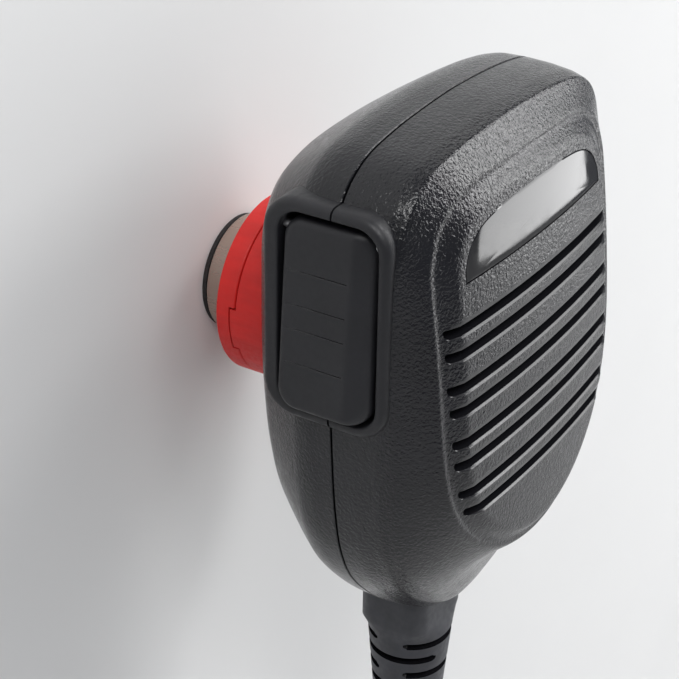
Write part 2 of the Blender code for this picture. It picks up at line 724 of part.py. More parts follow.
def make_strike_plate():
    front = PLATE_BACK - PLATE_THICKNESS
    edge = 0.3
    turned("strike_plate", [(0, PLATE_BACK), (PLATE_RADIUS - edge, PLATE_BACK),
                            (PLATE_RADIUS, PLATE_BACK - edge), (PLATE_RADIUS, front), (0, front)],
           "Y", (0, 0, 0), "steel", 36)
    washer_back = front - GAP
    turned("thrust_washer", [(3.0, washer_back), (10.8, washer_back),
                             (10.8, washer_back - WASHER_THICKNESS), (3.0, washer_back - WASHER_THICKNESS)],
           "Y", (0, 0, 0), "nylon", 22)


# ---------------------------------------------------------------- push-to-talk button
def sloped_box(name, points, y_low, y_high):
    """A prism across the button's width, from an (x, z) outline."""
    return slab(name, points, "Y", y_low, y_high, "black_button")


def make_button():
    outline = rounded((BUTTON_Y[0], BUTTON_Z[0]), (BUTTON_Y[1], BUTTON_Z[1]), POCKET_CORNER - 0.5, 5)
    button = slab("ptt_button", outline, "X", -36.0, BUTTON_BACK, "black_button")
    low, high = BUTTON_Z[0] - 2, BUTTON_Z[1] + 2
    lean = (BUTTON_FOOT_FACE - BUTTON_TOP_FACE) / (BUTTON_Z[0] - BUTTON_Z[1])
    foot = BUTTON_FOOT_FACE - 2 * lean
    head = BUTTON_TOP_FACE + 2 * lean
    cut(button, sloped_box("face_cutter", [(-40, low), (foot, low), (head, high), (-40, high)], -50, -25))
    facet = slab("facet_cutter", [(-40.0, FACET_Y), (BUTTON_FOOT_FACE, FACET_Y),
                                  (BUTTON_FOOT_FACE + FACET_DROP * 1.25, BUTTON_Y[0] - 1),
                                  (-40.0, BUTTON_Y[0] - 1)], "Z", -20.0, 60.0, "black_button")
    facet.data.transform(Matrix.Translation(Vector((-BUTTON_FOOT_FACE, 0, -BUTTON_Z[0])) * MM))
    facet.data.transform(Matrix.Rotation(math.atan(lean), 4, "Y"))
    facet.data.transform(Matrix.Translation(Vector((BUTTON_FOOT_FACE, 0, BUTTON_Z[0])) * MM))
    cut(button, facet)
    for number, level in enumerate(GROOVE_LEVELS, start=1):
        face = BUTTON_FOOT_FACE + lean * (level - BUTTON_Z[0])
        cut(button, box(f"groove_{number}", (face - 2, FACET_Y + 0.6, level - 0.22),
                        (face + 0.3, BUTTON_Y[1] - 1.2, level + 0.22), "black_button"))
    join(button, rod("button_boss", "X", (0, SWITCH_Y, SWITCH_Z), BUTTON_BACK - 0.5, -27.0, 1.6,
                     "black_button", 16))
    cut(button, rod("spring_seat", "X", (0, SWITCH_Y, SPRING_Z), BUTTON_BACK - 1.2, BUTTON_BACK + 1, 2.7,
                    "black_button", 20))
    cut(button, rod("pin_bore", "Y", (PIN_X, 0, PIN_Z), -50, -25, PIN_RADIUS + 0.1, "black_button", 16))
    button.data.transform(Matrix.Translation(Vector((-PIN_X, 0, -PIN_Z)) * MM))
    button.location = Vector((PIN_X, 0, PIN_Z)) * MM
    rod("hinge_pin", "Y", (PIN_X, 0, PIN_Z), POCKET_Y[0] - 1.3, POCKET_Y[1] + 1.3, PIN_RADIUS, "steel", 16)


def make_button_spring():
    turns, points_a_turn, radius = 4, 9, 1.9
    low_x, high_x = BUTTON_BACK - 0.6, -22.8
    points = []
    for i in range(turns * points_a_turn + 1):
        t = i / (turns * points_a_turn)
        angle = 2 * math.pi * turns * t
        points.append((low_x + (high_x - low_x) * t, SWITCH_Y + radius * math.cos(angle),
                       SPRING_Z + radius * math.sin(angle)))
    tube("ptt_spring", points, 0.25, "steel", 0)


# ---------------------------------------------------------------- inside the case
def make_board():
    outline = rounded((BOARD_X[0], BOARD_Z[0]), (BOARD_X[1], BOARD_Z[1]), 2.0, 3)
    board = slab("circuit_board", outline, "Y", *BOARD_Y, "board_green")
    for number, (x, z) in enumerate(BOARD_SCREWS, start=1):
        cut(board, rod(f"board_hole_{number}", "Y", (x, 0, z), -42, -38, 1.3, "board_green", 16))
        profile = [(0, -37.6), (2.0, -37.6), (2.3, -38.0), (2.3, -39.1), (0.9, -39.1), (0.9, -45.5), (0, -45.5)]
        turned(f"board_screw_{number}", profile, "Y", (x, 0, z), "steel", 16)


def make_capsule():
    profile = [(0, -42.2), (CAPSULE_RADIUS, -42.2), (CAPSULE_RADIUS, -48.6), (1.2, -48.6), (1.2, -47.8),
               (0, -47.8)]
    turned("mic_capsule", profile, "Y", (0, 0, CAPSULE_Z), "nickel", 24)
    inner = CAPSULE_RADIUS + GAP
    profile = [(inner, -42.9), (inner + 1.2, -42.9), (inner + 1.2, -49.0), (3.4, -49.0), (3.4, -48.9),
               (inner, -48.9)]
    turned("capsule_boot", profile, "Y", (0, 0, CAPSULE_Z), "rubber", 24)
    outline = rounded((-17.6, -14.6), (17.6, 16.2), 3.0, 3)
    slab("dust_felt", outline, "Y", -49.7, -49.3, "felt")


def make_switch():
    low = (-24.6, -39.1, SWITCH_Z - 5.2)
    switch = box("ptt_switch", low, (-18.4, -33.3, SWITCH_Z + 4.4), "switch_body")
    cut(switch, rod("plunger_bore", "X", (0, SWITCH_Y, SWITCH_Z), -26, -21.4, 1.1, "switch_body", 16))
    plunger = turned("switch_plunger", [(0, -23.2), (1.0, -23.2), (1.0, -26.5), (0.8, -26.7), (0, -26.7)],
                     "X", (0, SWITCH_Y, SWITCH_Z), "nylon", 16)
    set_origin(plunger, -26.7, SWITCH_Y, SWITCH_Z)
    bracket = box("spring_bracket", (-22.6, -39.1, SPRING_Z - 3.0), (-18.4, -33.3, SPRING_Z + 3.4), "nylon")
    cut(bracket, rod("bracket_dimple", "X", (0, SWITCH_Y, SPRING_Z), -24, -22.2, 2.5, "nylon", 16))


def make_case_screws():
    for number, (x, z) in enumerate(CASE_SCREWS, start=1):
        head = BACK_Y - 0.8
        profile = [(0, head), (2.0, head), (2.7, head - 0.5), (2.7, head - 1.8), (1.45, head - 1.8),
                   (1.45, -44.5), (0, -45.5)]
        screw = turned(f"case_screw_{number}", profile, "Y", (x, 0, z), "steel", 16)
        for part, (half_x, half_z) in enumerate(((1.5, 0.3), (0.3, 1.5)), start=1):
            cut(screw, box(f"cross_{number}_{part}", (x - half_x, head - 0.8, z - half_z),
                           (x + half_x, head + 1, z + half_z), "steel"))


def make_wires():
    starts = [(-6.0, -20.5), (-2.0, -20.5), (2.0, -20.5), (6.0, -20.5)]
    for number, (x, z) in enumerate(starts, start=1):
        end_x = (number - 2.5) * 0.95
        route = [(x, -38.9, z), (x, -36.4, z - 0.2), (x * 0.9, -34.6, z - 2.0), (x * 0.55, -34.0, z - 5.0),
                 (end_x * 1.2, CORD_Y, z - 8.2), (end_x, CORD_Y, z - 9.6)]
        tube(f"cord_core_{number}", catmull(route, per=2), 0.4, "wire_red", 1)


def make_cord_clamp():
    outer = rounded((-5.0, CORD_Y - 3.9), (5.0, CORD_Y + 3.9), 1.5, 3)
    clamp = slab("cord_clamp", outer, "Z", -35.2, -32.6, "nylon")
    cut(clamp, rod("clamp_bore", "Z", (0, CORD_Y, 0), -40, -30, CORD_RADIUS + GAP, "nylon", 24))


# ---------------------------------------------------------------- strain relief, cord, plug
def relief_ring(z, width, depth, corner, count=28):
    """A rounded rectangle or circle, sampled at even angles about the cord line."""
    outline = rounded((-width / 2, -depth / 2), (width / 2, depth / 2), corner, 9)
    made = []
    for i in range(count):
        ray = Vector((math.cos(2 * math.pi * i / count), math.sin(2 * math.pi * i / count)))
        reach = edge_reach(outline, ray)
        made.append((ray.x * reach, CORD_Y + ray.y * reach, z))
    return made


def edge_reach(outline, ray):
    """Distance from the middle to an outline along a ray."""
    for a, b in zip(outline, outline[1:] + outline[:1]):
        first = ray.x * a[1] - ray.y * a[0]
        second = ray.x * b[1] - ray.y * b[0]
        if first <= 0 < second:
            t = first / (first - second)
            hit = Vector(a).lerp(Vector(b), t)
            if hit.dot(ray) > 0:
                return hit.dot(ray)
    return 0.0


def make_strain_relief():
    width, depth = COLLAR
    rings = [relief_ring(COLLAR_TOP + 2.1, *RELIEF_FLANGE), relief_ring(COLLAR_TOP, *RELIEF_FLANGE),
             relief_ring(COLLAR_TOP - 0.01, width, depth, COLLAR_CORNER),
             relief_ring(COLLAR_END, width, depth, COLLAR_CORNER),
             relief_ring((COLLAR_END + RELIEF_TOP) / 2, *RELIEF_SHOULDER)]
    for i in range(4):
        t = i / 3
        radius = RELIEF_TOP_RADIUS + (RELIEF_TIP_RADIUS - RELIEF_TOP_RADIUS) * t
        rings.append(relief_ring(RELIEF_TOP + (RELIEF_TIP - RELIEF_TOP) * t, 2 * radius, 2 * radius,
                                 radius - 0.001))
    relief = loft("strain_relief", rings, "rubber")
    cut(relief, rod("relief_bore", "Z", (0, CORD_Y, 0), -95, -35, RELIEF_BORE, "rubber", 16))
    for row in range(RELIEF_ROWS):
        z = RELIEF_ROW_TOP - row * RELIEF_ROW_PITCH
        for side in range(2):
            middle = math.pi * side + (math.pi / 2 if row % 2 == 0 else 0)
            sector = arc_sector(RELIEF_CORE, 9.0, middle, RELIEF_SLOT_HALF_ANGLE, (0, CORD_Y), 5)
            cut(relief, slab(f"relief_slot_{row}_{side}", sector, "Z", z - RELIEF_SLOT / 2,
                             z + RELIEF_SLOT / 2, "rubber"))


def plumb(top, bottom, step=9.0):
    count = max(2, round((top - bottom) / step) + 1)
    return [(0, CORD_Y, top + (bottom - top) * i / (count - 1)) for i in range(count)]


def make_cord():
    tube("inner_cord", plumb(-31.0, RELIEF_TIP + GAP), CORD_RADIUS, "cord_rubber", 2)
    tube("cord_lead", plumb(LEAD_TOP, COIL_TOP + GAP), CORD_RADIUS, "cord_rubber", 2)
    rod("cord_coil", "Z", (0, CORD_Y, 0), COIL_END, COIL_TOP, COIL_RADIUS, "cord_rubber", 24)
    tube("cord_tail", plumb(COIL_END - GAP, TAIL_END), CORD_RADIUS, "cord_rubber", 2)


def make_plug():
    line = (0, CORD_Y, 0)
    turned("plug_relief", [(0, PLUG_TOP), (3.4, PLUG_TOP), (4.6, PLUG_BODY_TOP + GAP),
                           (0, PLUG_BODY_TOP + GAP)], "Z", line, "rubber", 28)
    wall_r = 7.2
    profile = [(0, PLUG_BODY_TOP), (5.6, PLUG_BODY_TOP), (7.0, PLUG_BODY_TOP - 1.6),
               (8.2, PLUG_BODY_TOP - 4.0), (8.2, PLUG_SHOULDER), (wall_r, PLUG_SHOULDER),
               (wall_r, PLUG_END + 1.0), (wall_r - 0.8, PLUG_END + 1.0), (wall_r - 0.8, PLUG_SHOULDER - 0.8),
               (0, PLUG_SHOULDER - 0.8)]
    turned("plug_shell", profile, "Z", line, "nickel", 32)
    insert_top = PLUG_SHOULDER - 0.8 - GAP
    insert_end = PLUG_END + 2.0
    insert = rod("plug_insert", "Z", line, insert_end, insert_top, wall_r - 0.8 - GAP, "rubber", 24)
    for number in range(PLUG_CONTACTS + 1):
        angle = 2 * math.pi * number / PLUG_CONTACTS
        reach = 3.9 if number < PLUG_CONTACTS else 0.0
        spot = (reach * math.cos(angle), CORD_Y + reach * math.sin(angle), 0)
        cut(insert, rod(f"contact_bore_{number + 1}", "Z", spot, insert_end - 1, insert_end + 5.3, 1.0,
                        "rubber", 8))
        rod(f"contact_{number + 1}", "Z", spot, insert_end + 0.2, insert_end + 5.0, 0.7, "brass", 8)
    ring_low, ring_high = PLUG_END, PLUG_SHOULDER - GAP
    inner, outer = wall_r + GAP, 9.4
    profile = [(inner, ring_high), (outer - 0.6, ring_high), (outer, ring_high - 0.6),
               (outer, ring_low + 0.6), (outer - 0.6, ring_low), (inner, ring_low)]
    ring = turned("coupling_ring", profile, "Z", line, "nickel", 28)
    set_origin(ring, 0, CORD_Y, ring_high)


# ---------------------------------------------------------------- build
make_wall_button()
make_adapter()
make_strike_plate()
make_shells()
make_button()
make_button_spring()
make_board()
make_capsule()
make_switch()
make_case_screws()
make_wires()
make_cord_clamp()
make_strain_relief()
make_cord()
make_plug()
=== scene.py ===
"""Looks of the fist microphone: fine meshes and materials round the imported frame.

The frame is the CAD one: the origin is on the wall behind the wall button, +Y points into
the wall, +Z is up and the push-to-talk button is at -X. Lengths in this file are in
millimetres until MM turns them into Blender's metres.
"""
import json
import math

import bmesh
import bpy
import numpy as np
from mathutils import Matrix, Vector


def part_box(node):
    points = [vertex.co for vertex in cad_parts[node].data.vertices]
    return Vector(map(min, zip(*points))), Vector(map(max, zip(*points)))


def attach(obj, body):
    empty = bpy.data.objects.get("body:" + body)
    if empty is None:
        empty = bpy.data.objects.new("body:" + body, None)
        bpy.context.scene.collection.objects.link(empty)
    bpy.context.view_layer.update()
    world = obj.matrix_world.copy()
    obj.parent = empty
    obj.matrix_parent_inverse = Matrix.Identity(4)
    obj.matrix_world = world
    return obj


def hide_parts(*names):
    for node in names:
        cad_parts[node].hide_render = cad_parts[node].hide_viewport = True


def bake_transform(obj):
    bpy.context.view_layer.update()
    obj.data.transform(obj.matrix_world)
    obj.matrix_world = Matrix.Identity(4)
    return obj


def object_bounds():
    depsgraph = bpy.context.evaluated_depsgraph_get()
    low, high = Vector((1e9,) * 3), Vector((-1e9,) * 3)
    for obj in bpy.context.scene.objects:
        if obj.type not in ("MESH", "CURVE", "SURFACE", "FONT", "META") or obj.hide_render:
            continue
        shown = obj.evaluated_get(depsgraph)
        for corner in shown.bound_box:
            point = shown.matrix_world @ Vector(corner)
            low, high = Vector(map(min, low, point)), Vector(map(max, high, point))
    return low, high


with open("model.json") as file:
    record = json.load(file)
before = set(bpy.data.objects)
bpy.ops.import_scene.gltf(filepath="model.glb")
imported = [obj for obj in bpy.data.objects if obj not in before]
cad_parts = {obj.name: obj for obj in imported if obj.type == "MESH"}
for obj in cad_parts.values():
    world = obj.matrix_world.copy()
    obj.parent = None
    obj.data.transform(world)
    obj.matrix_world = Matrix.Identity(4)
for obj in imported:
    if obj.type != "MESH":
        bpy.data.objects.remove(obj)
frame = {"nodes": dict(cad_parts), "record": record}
CAD_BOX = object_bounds()
MM = 0.001


# ---------------------------------------------------------------- sizes from the frame
def low_mm(node):
    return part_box(node)[0] / MM


def high_mm(node):
    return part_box(node)[1] / MM


def middle_mm(node):
    return (low_mm(node) + high_mm(node)) / 2


BACK_Y = high_mm("rear_shell").y
CORD_Y = middle_mm("cord_coil").y
CORD_RADIUS = (high_mm("cord_lead").x - low_mm("cord_lead").x) / 2
RELIEF_TIP = low_mm("strain_relief").z
COIL_TOP = high_mm("cord_coil").z
COIL_END = low_mm("cord_coil").z
COIL_RADIUS = high_mm("cord_coil").x
TAIL_END = low_mm("cord_tail").z
RING_RADIUS = high_mm("ring_base").x
CUP_RADIUS = high_mm("magnet_cup").x

# ---------------------------------------------------------------- camera
CAMERA_AZIMUTH = math.radians(58.2)
CAMERA_ELEVATION = math.radians(28.9)
CAMERA_ROLL = math.radians(0.89)
CAMERA_AT = Vector((-208.4, -148.7, 128.55))
CAMERA_LENS = 95.4
CAMERA_SENSOR = 36.0


def make_camera():
    data = bpy.data.cameras.new("camera")
    data.lens = CAMERA_LENS
    data.sensor_width = CAMERA_SENSOR
    data.clip_start = 0.01
    camera = bpy.data.objects.new("camera", data)
    bpy.context.scene.collection.objects.link(camera)
    cos_el, sin_el = math.cos(CAMERA_ELEVATION), math.sin(CAMERA_ELEVATION)
    cos_az, sin_az = math.cos(CAMERA_AZIMUTH), math.sin(CAMERA_AZIMUTH)
    back = Vector((-cos_el * sin_az, -cos_el * cos_az, sin_el))
    right = Vector((cos_az, -sin_az, 0))
    up = back.cross(right)
    turn = Matrix((right, up, back)).transposed() @ Matrix.Rotation(CAMERA_ROLL, 3, "Z")
    camera.matrix_world = Matrix.Translation(CAMERA_AT * MM) @ turn.to_4x4()
    bpy.context.scene.camera = camera


# ---------------------------------------------------------------- materials
class Nodes:
    """A Principled material with short ways to add procedural detail."""

    def __init__(self, name, color, roughness, metallic=0.0, **sockets):
        self.material = bpy.data.materials.new(name)
        self.material.use_nodes = True
        self.tree = self.material.node_tree
        self.shader = self.tree.nodes["Principled BSDF"]
        self.color = color
        self.set("Base Color", (*color, 1.0))
        self.set("Roughness", roughness)
        self.set("Metallic", metallic)
        for socket, value in sockets.items():
            self.set(socket.replace("_", " "), value)
        self.place = self.tree.nodes.new("ShaderNodeTexCoord").outputs["Object"]
        self.last_normal = None

    def set(self, socket, value):
        self.shader.inputs[socket].default_value = value

    def stretched(self, stretch):
        """Object coordinates, squeezed or stretched along each axis."""
        mapping = self.tree.nodes.new("ShaderNodeMapping")
        mapping.inputs["Scale"].default_value = stretch
        self.tree.links.new(self.place, mapping.inputs["Vector"])
        return mapping.outputs["Vector"]

    def noise(self, cell_mm, detail=2.0, stretch=(1, 1, 1), distortion=0.0):
        node = self.tree.nodes.new("ShaderNodeTexNoise")
        node.inputs["Scale"].default_value = 1.0 / (cell_mm * MM)
        node.inputs["Detail"].default_value = detail
        node.inputs["Distortion"].default_value = distortion
        self.tree.links.new(self.stretched(stretch), node.inputs["Vector"])
        return node.outputs["Fac"]

    def cells(self, cell_mm):
        node = self.tree.nodes.new("ShaderNodeTexVoronoi")
        node.feature = "SMOOTH_F1"
        node.inputs["Scale"].default_value = 1.0 / (cell_mm * MM)
        node.inputs["Smoothness"].default_value = 0.35
        self.tree.links.new(self.stretched((1, 1, 1)), node.inputs["Vector"])
        return node.outputs["Distance"]

    def bump(self, height, strength, depth_mm):
        node = self.tree.nodes.new("ShaderNodeBump")
        node.inputs["Strength"].default_value = strength
        node.inputs["Distance"].default_value = depth_mm * MM
        self.tree.links.new(height, node.inputs["Height"])
        if self.last_normal:
            self.tree.links.new(self.last_normal, node.inputs["Normal"])
        self.last_normal = node.outputs["Normal"]
        self.tree.links.new(self.last_normal, self.shader.inputs["Normal"])
        return self

    def ramp(self, value, low, high, stops=(0.35, 0.65)):
        node = self.tree.nodes.new("ShaderNodeValToRGB")
        for stop, place, shade in zip(node.color_ramp.elements, stops, (low, high)):
            stop.position = place
            stop.color = (*shade, 1.0)
        self.tree.links.new(value, node.inputs["Fac"])
        return node.outputs["Color"]

    def vary_color(self, value, low, high):
        """Colour between low and high times the base colour."""
        shades = [tuple(c * factor for c in self.color) for factor in (low, high)]
        self.tree.links.new(self.ramp(value, *shades), self.shader.inputs["Base Color"])
        return self

    def vary_roughness(self, value, low, high):
        shade = self.ramp(value, (low,) * 3, (high,) * 3)
        self.tree.links.new(shade, self.shader.inputs["Roughness"])
        return self


def grained_plastic():
    """Black plastic with a coarse leathery grain."""
    nodes = Nodes("grained_black", (0.0066, 0.0067, 0.0086), 0.22)
    nodes.vary_color(nodes.noise(9.0), 0.85, 1.2)
    nodes.vary_roughness(nodes.noise(1.1), 0.16, 0.25)
    nodes.bump(nodes.noise(0.42, 1.5, distortion=0.8), 0.9, 0.12)
    nodes.bump(nodes.cells(0.55), 0.6, 0.09)
    return nodes.material


def fine_plastic():
    """Black plastic with a very fine, even grain."""
    nodes = Nodes("fine_black", (0.0095, 0.0095, 0.0118), 0.42)
    nodes.vary_color(nodes.noise(7.0), 0.9, 1.12)
    nodes.vary_roughness(nodes.noise(0.8), 0.42, 0.52)
    nodes.bump(nodes.noise(0.22, 1.0), 0.35, 0.04)
    return nodes.material


def smooth_plastic():
    nodes = Nodes("smooth_black", (0.0078, 0.0079, 0.0098), 0.22)
    nodes.vary_roughness(nodes.noise(1.4), 0.19, 0.26)
    nodes.bump(nodes.noise(0.5, 1.0), 0.12, 0.02)
    return nodes.material


def gloss_window():
    nodes = Nodes("gloss_window", (0.006, 0.006, 0.007), 0.05,
                  Specular_IOR_Level=0.35, Coat_Weight=0.2, Coat_Roughness=0.03)
    nodes.vary_roughness(nodes.noise(3.0, 3.0), 0.035, 0.075)
    nodes.bump(nodes.noise(14.0, 1.0), 0.05, 0.05)
    return nodes.material


def red_plastic():
    nodes = Nodes("matte_red", (0.70, 0.018, 0.014), 0.5)
    nodes.vary_color(nodes.noise(2.2, 2.0, (1, 0.25, 1)), 0.92, 1.06)
    nodes.vary_roughness(nodes.noise(0.7), 0.42, 0.58)
    nodes.bump(nodes.noise(0.16, 2.0), 0.3, 0.03)
    return nodes.material


def satin_nickel():
    nodes = Nodes("satin_nickel", (0.50, 0.42, 0.36), 0.3, 1.0)
    nodes.vary_roughness(nodes.noise(0.9, 3.0, (1, 0.2, 1)), 0.24, 0.36)
    nodes.bump(nodes.noise(0.25, 2.0, (1, 0.15, 1)), 0.08, 0.02)
    return nodes.material


def zinc_steel():
    nodes = Nodes("zinc_steel", (0.46, 0.46, 0.47), 0.35, 1.0)
    nodes.vary_color(nodes.noise(1.5), 0.85, 1.1)
    nodes.vary_roughness(nodes.noise(0.6), 0.28, 0.45)
    nodes.bump(nodes.noise(0.2), 0.1, 0.02)
    return nodes.material


def magnet_metal():
    nodes = Nodes("magnet_metal", (0.30, 0.30, 0.31), 0.4, 1.0)
    nodes.vary_roughness(nodes.noise(0.9), 0.35, 0.5)
    return nodes.material


def soft_rubber():
    nodes = Nodes("soft_rubber", (0.030, 0.031, 0.038), 0.46)
    nodes.vary_color(nodes.noise(4.0), 0.88, 1.12)
    nodes.vary_roughness(nodes.noise(1.0), 0.44, 0.58)
    nodes.bump(nodes.noise(0.3, 1.0), 0.12, 0.02)
    return nodes.material


def cord_rubber():
    nodes = Nodes("cord_jacket", (0.014, 0.014, 0.016), 0.38)
    nodes.vary_roughness(nodes.noise(1.5), 0.33, 0.45)
    nodes.bump(nodes.noise(0.4), 0.12, 0.02)
    return nodes.material


def foam_pad():
    nodes = Nodes("foam_pad", (0.020, 0.018, 0.018), 0.9)
    nodes.vary_color(nodes.noise(0.5), 0.7, 1.3)
    nodes.bump(nodes.noise(0.3), 0.5, 0.05)
    return nodes.material


def felt_cloth():
    nodes = Nodes("felt_cloth", (0.006, 0.006, 0.006), 1.0)
    nodes.vary_color(nodes.noise(0.3), 0.6, 1.3)
    nodes.bump(nodes.noise(0.2), 0.6, 0.05)
    return nodes.material


def board_green():
    nodes = Nodes("solder_mask", (0.02, 0.13, 0.05), 0.35)
    nodes.vary_color(nodes.cells(2.0), 0.8, 1.2)
    return nodes.material


def nylon():
    nodes = Nodes("natural_nylon", (0.72, 0.70, 0.64), 0.45)
    nodes.vary_color(nodes.noise(2.0), 0.94, 1.04)
    nodes.bump(nodes.noise(0.4), 0.1, 0.02)
    return nodes.material


def contact_brass():
    nodes = Nodes("contact_brass", (0.62, 0.44, 0.17), 0.28, 1.0)
    nodes.vary_roughness(nodes.noise(0.5), 0.22, 0.36)
    return nodes.material


def wire_red():
    nodes = Nodes("wire_insulation", (0.48, 0.02, 0.02), 0.4)
    nodes.vary_color(nodes.noise(2.0), 0.9, 1.1)
    return nodes.material


def switch_body():
    nodes = Nodes("switch_body", (0.03, 0.03, 0.034), 0.45)
    nodes.vary_roughness(nodes.noise(0.8), 0.4, 0.52)
    return nodes.material


MATERIALS = {
    "black_shell": grained_plastic(),
    "black_button": fine_plastic(),
    "smooth_black": smooth_plastic(),
    "gloss_black": gloss_window(),
    "red_plastic": red_plastic(),
    "nickel": satin_nickel(),
    "steel": zinc_steel(),
    "magnet": magnet_metal(),
    "pad_foam": foam_pad(),
    "rubber": soft_rubber(),
    "cord_rubber": cord_rubber(),
    "felt": felt_cloth(),
    "board_green": board_green(),
    "nylon": nylon(),
    "brass": contact_brass(),
    "wire_red": wire_red(),
    "switch_body": switch_body(),
}


def dress_frame():
    """Give every CAD node the material of its slot."""
    for entry in frame["record"]["subparts"]:
        mesh = frame["nodes"][entry["node"]].data
        mesh.materials.clear()
        mesh.materials.append(MATERIALS[entry["material_slot"]])


# ---------------------------------------------------------------- cord
COIL_TURNS = 23.0
COIL_WIRE_RADIUS = COIL_RADIUS - CORD_RADIUS
COIL_END_TURNS = 0.6         # turns in which the coil opens up from its axis
COIL_END_GAP = 0.2
POINTS_A_TURN = 20


def cord_route():
    """Centreline of the hanging cord: straight lead, helix, straight tail."""
    top = COIL_TOP - CORD_RADIUS - COIL_END_GAP
    bottom = COIL_END + CORD_RADIUS + COIL_END_GAP
    points = [(0, CORD_Y, z) for z in (RELIEF_TIP + 0.5, RELIEF_TIP - 4, COIL_TOP + 3.5)]
    steps = round(COIL_TURNS * POINTS_A_TURN)
    for i in range(steps + 1):
        t = i / steps
        angle = 2 * math.pi * COIL_TURNS * t
        ends = min(t, 1 - t) * COIL_TURNS
        reach = COIL_WIRE_RADIUS * min(1.0, ends / COIL_END_TURNS) ** 0.7
        points.append((reach * math.cos(angle), CORD_Y + reach * math.sin(angle),
                       top + (bottom - top) * t))
    points += [(0, CORD_Y, z) for z in (COIL_END - 2.5, TAIL_END + 2, TAIL_END)]
    return [Vector(p) * MM for p in points]


def make_cord():
    points = cord_route()
    curve = bpy.data.curves.new("curly_cord", "CURVE")
    curve.dimensions = "3D"
    curve.bevel_depth = CORD_RADIUS * MM
    curve.bevel_resolution = 5
    curve.use_fill_caps = True
    spline = curve.splines.new("POLY")
    spline.points.add(len(points) - 1)
    for point, place in zip(spline.points, points):
        point.co = (*place, 1)
    spline.use_smooth = True
    curve.materials.append(MATERIALS["cord_rubber"])
    cord = bpy.data.objects.new("curly_cord", curve)
    bpy.context.scene.collection.objects.link(cord)
    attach(cord, "cord")
    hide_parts("cord_lead", "cord_coil", "cord_tail")
    return cord, points


# ---------------------------------------------------------------- case outlines
# half outlines, (x, z) from the top middle round the +X side to the bottom middle
PARTING_HALF = [(0, 38.6), (10, 38.2), (17, 37.5), (22.5, 36.4), (26.6, 34.2), (29.2, 31),
                (30.5, 27), (31, 20), (31, 5), (30.3, -7), (29.3, -16), (27.6, -23.5),
                (24.2, -30.3), (17.5, -37.8), (10, -44), (5, -46.8), (0, -47.6)]
BACK_HALF = [(0, 29.6), (9, 29.3), (14, 28.4), (18, 26.6), (20.6, 23.5), (21.8, 19.5), (22, 14),
             (22, 3), (21.3, -6), (20.2, -13), (18.2, -19.5), (15.2, -25), (11, -30.5),
             (6.5, -35), (3, -37.2), (0, -37.8)]
RIDGE_HALF = [(0, 33.5), (8, 33.3), (15, 32.8), (20, 31.5), (24, 28.5), (26, 24.5), (26.5, 20),
              (26.5, 5), (26.3, -3), (25.4, -9), (23.6, -14), (20.6, -18.5), (16, -22.8),
              (10.5, -26), (5, -27.6), (0, -28.1)]
PLATEAU_HALF = [(0, 30.4), (8, 30.2), (14, 29.6), (18.5, 28), (21, 25.2), (22, 21.5), (22, 10),
                (22, -3), (21.2, -9), (19.2, -14), (15.5, -18.8), (10.5, -22.6), (5, -24.8),
                (0, -25.4)]
CENTRE_Z = -4.0              # bearings are read from here
HUB_Z = CENTRE_Z + 6         # and the flat fields shrink towards here
RAYS = 300
ROW_STEP = 0.4               # spacing of the skin's rows
EDGE_SOFTNESS = 1.1          # blur of the skin's creases, in rows
SMOOTHING_REACH = 5          # rows on each side that the blur takes in
WALL = 2.2
PLATEAU_Y = -53.5            # depth of the plateau's middle, at PLATEAU_LEVEL
PLATEAU_LEVEL = 14.2
PLATEAU_LEAN = 0.13
PLATEAU_BOW = 0.0014         # curve from top to bottom
PLATEAU_CROWN = 0.0023       # curve from side to side
RIDGE_DROP = 1.5             # the ridge lies this much deeper than the plateau
RIDGE_LIP = 0.3              # the ridge stands this much above the groove inside it
FOOT_TUCK = 1.3              # how much sooner the shoulder turns in at the foot
FOOT_SPREAD = 0.45           # half-width of that region, in radians


def catmull(points, closed, per):
    """Points on a smooth curve through the given ones, as an array."""
    p = np.array(points, float)
    if closed:
        p = np.vstack([p[-1], p, p[:2]])
    else:
        p = np.vstack([2 * p[0] - p[1], p, 2 * p[-1] - p[-2]])
    t = (np.arange(per) / per)[:, None]
    spans = []
    for a, b, c, d in zip(p, p[1:], p[2:], p[3:]):
        spans.append(0.5 * (2 * b + (c - a) * t + (2 * a - 5 * b + 4 * c - d) * t ** 2
                            + (3 * b - a - 3 * c + d) * t ** 3))
    made = np.vstack(spans)
    return made if closed else np.vstack([made, p[-2]])


class Outline:
    """A closed outline in the X-Z plane that can be read at any bearing from the case's centre."""

    def __init__(self, half):
        mirrored = [(-x, z) for x, z in reversed(half[1:-1])]
        self.points = catmull(half + mirrored, True, 12)
        self.bearings = bearing_of(self.points[:, 0], self.points[:, 1])
        self.reaches = np.hypot(self.points[:, 0], self.points[:, 1] - CENTRE_Z)

    def reach(self, bearings):
        return np.interp(bearings, self.bearings, self.reaches, period=2 * math.pi)

    def ring(self):
        reach = self.reach(BEARINGS)
        return np.stack([reach * np.sin(BEARINGS), CENTRE_Z + reach * np.cos(BEARINGS)], 1)


def bearing_of(x, z):
    """Clockwise angle from straight up, seen from the front."""
    return np.arctan2(x, z - CENTRE_Z) % (2 * math.pi)


def even_bearings(outline):
    """Bearings of points spaced evenly along an outline."""
    loop = np.vstack([outline.points, outline.points[:1]])
    along = np.concatenate([[0], np.cumsum(np.linalg.norm(np.diff(loop, axis=0), axis=1))])
    want = np.arange(RAYS) / RAYS * along[-1]
    x = np.interp(want, along, loop[:, 0])
    z = np.interp(want, along, loop[:, 1])
    return bearing_of(x, z)


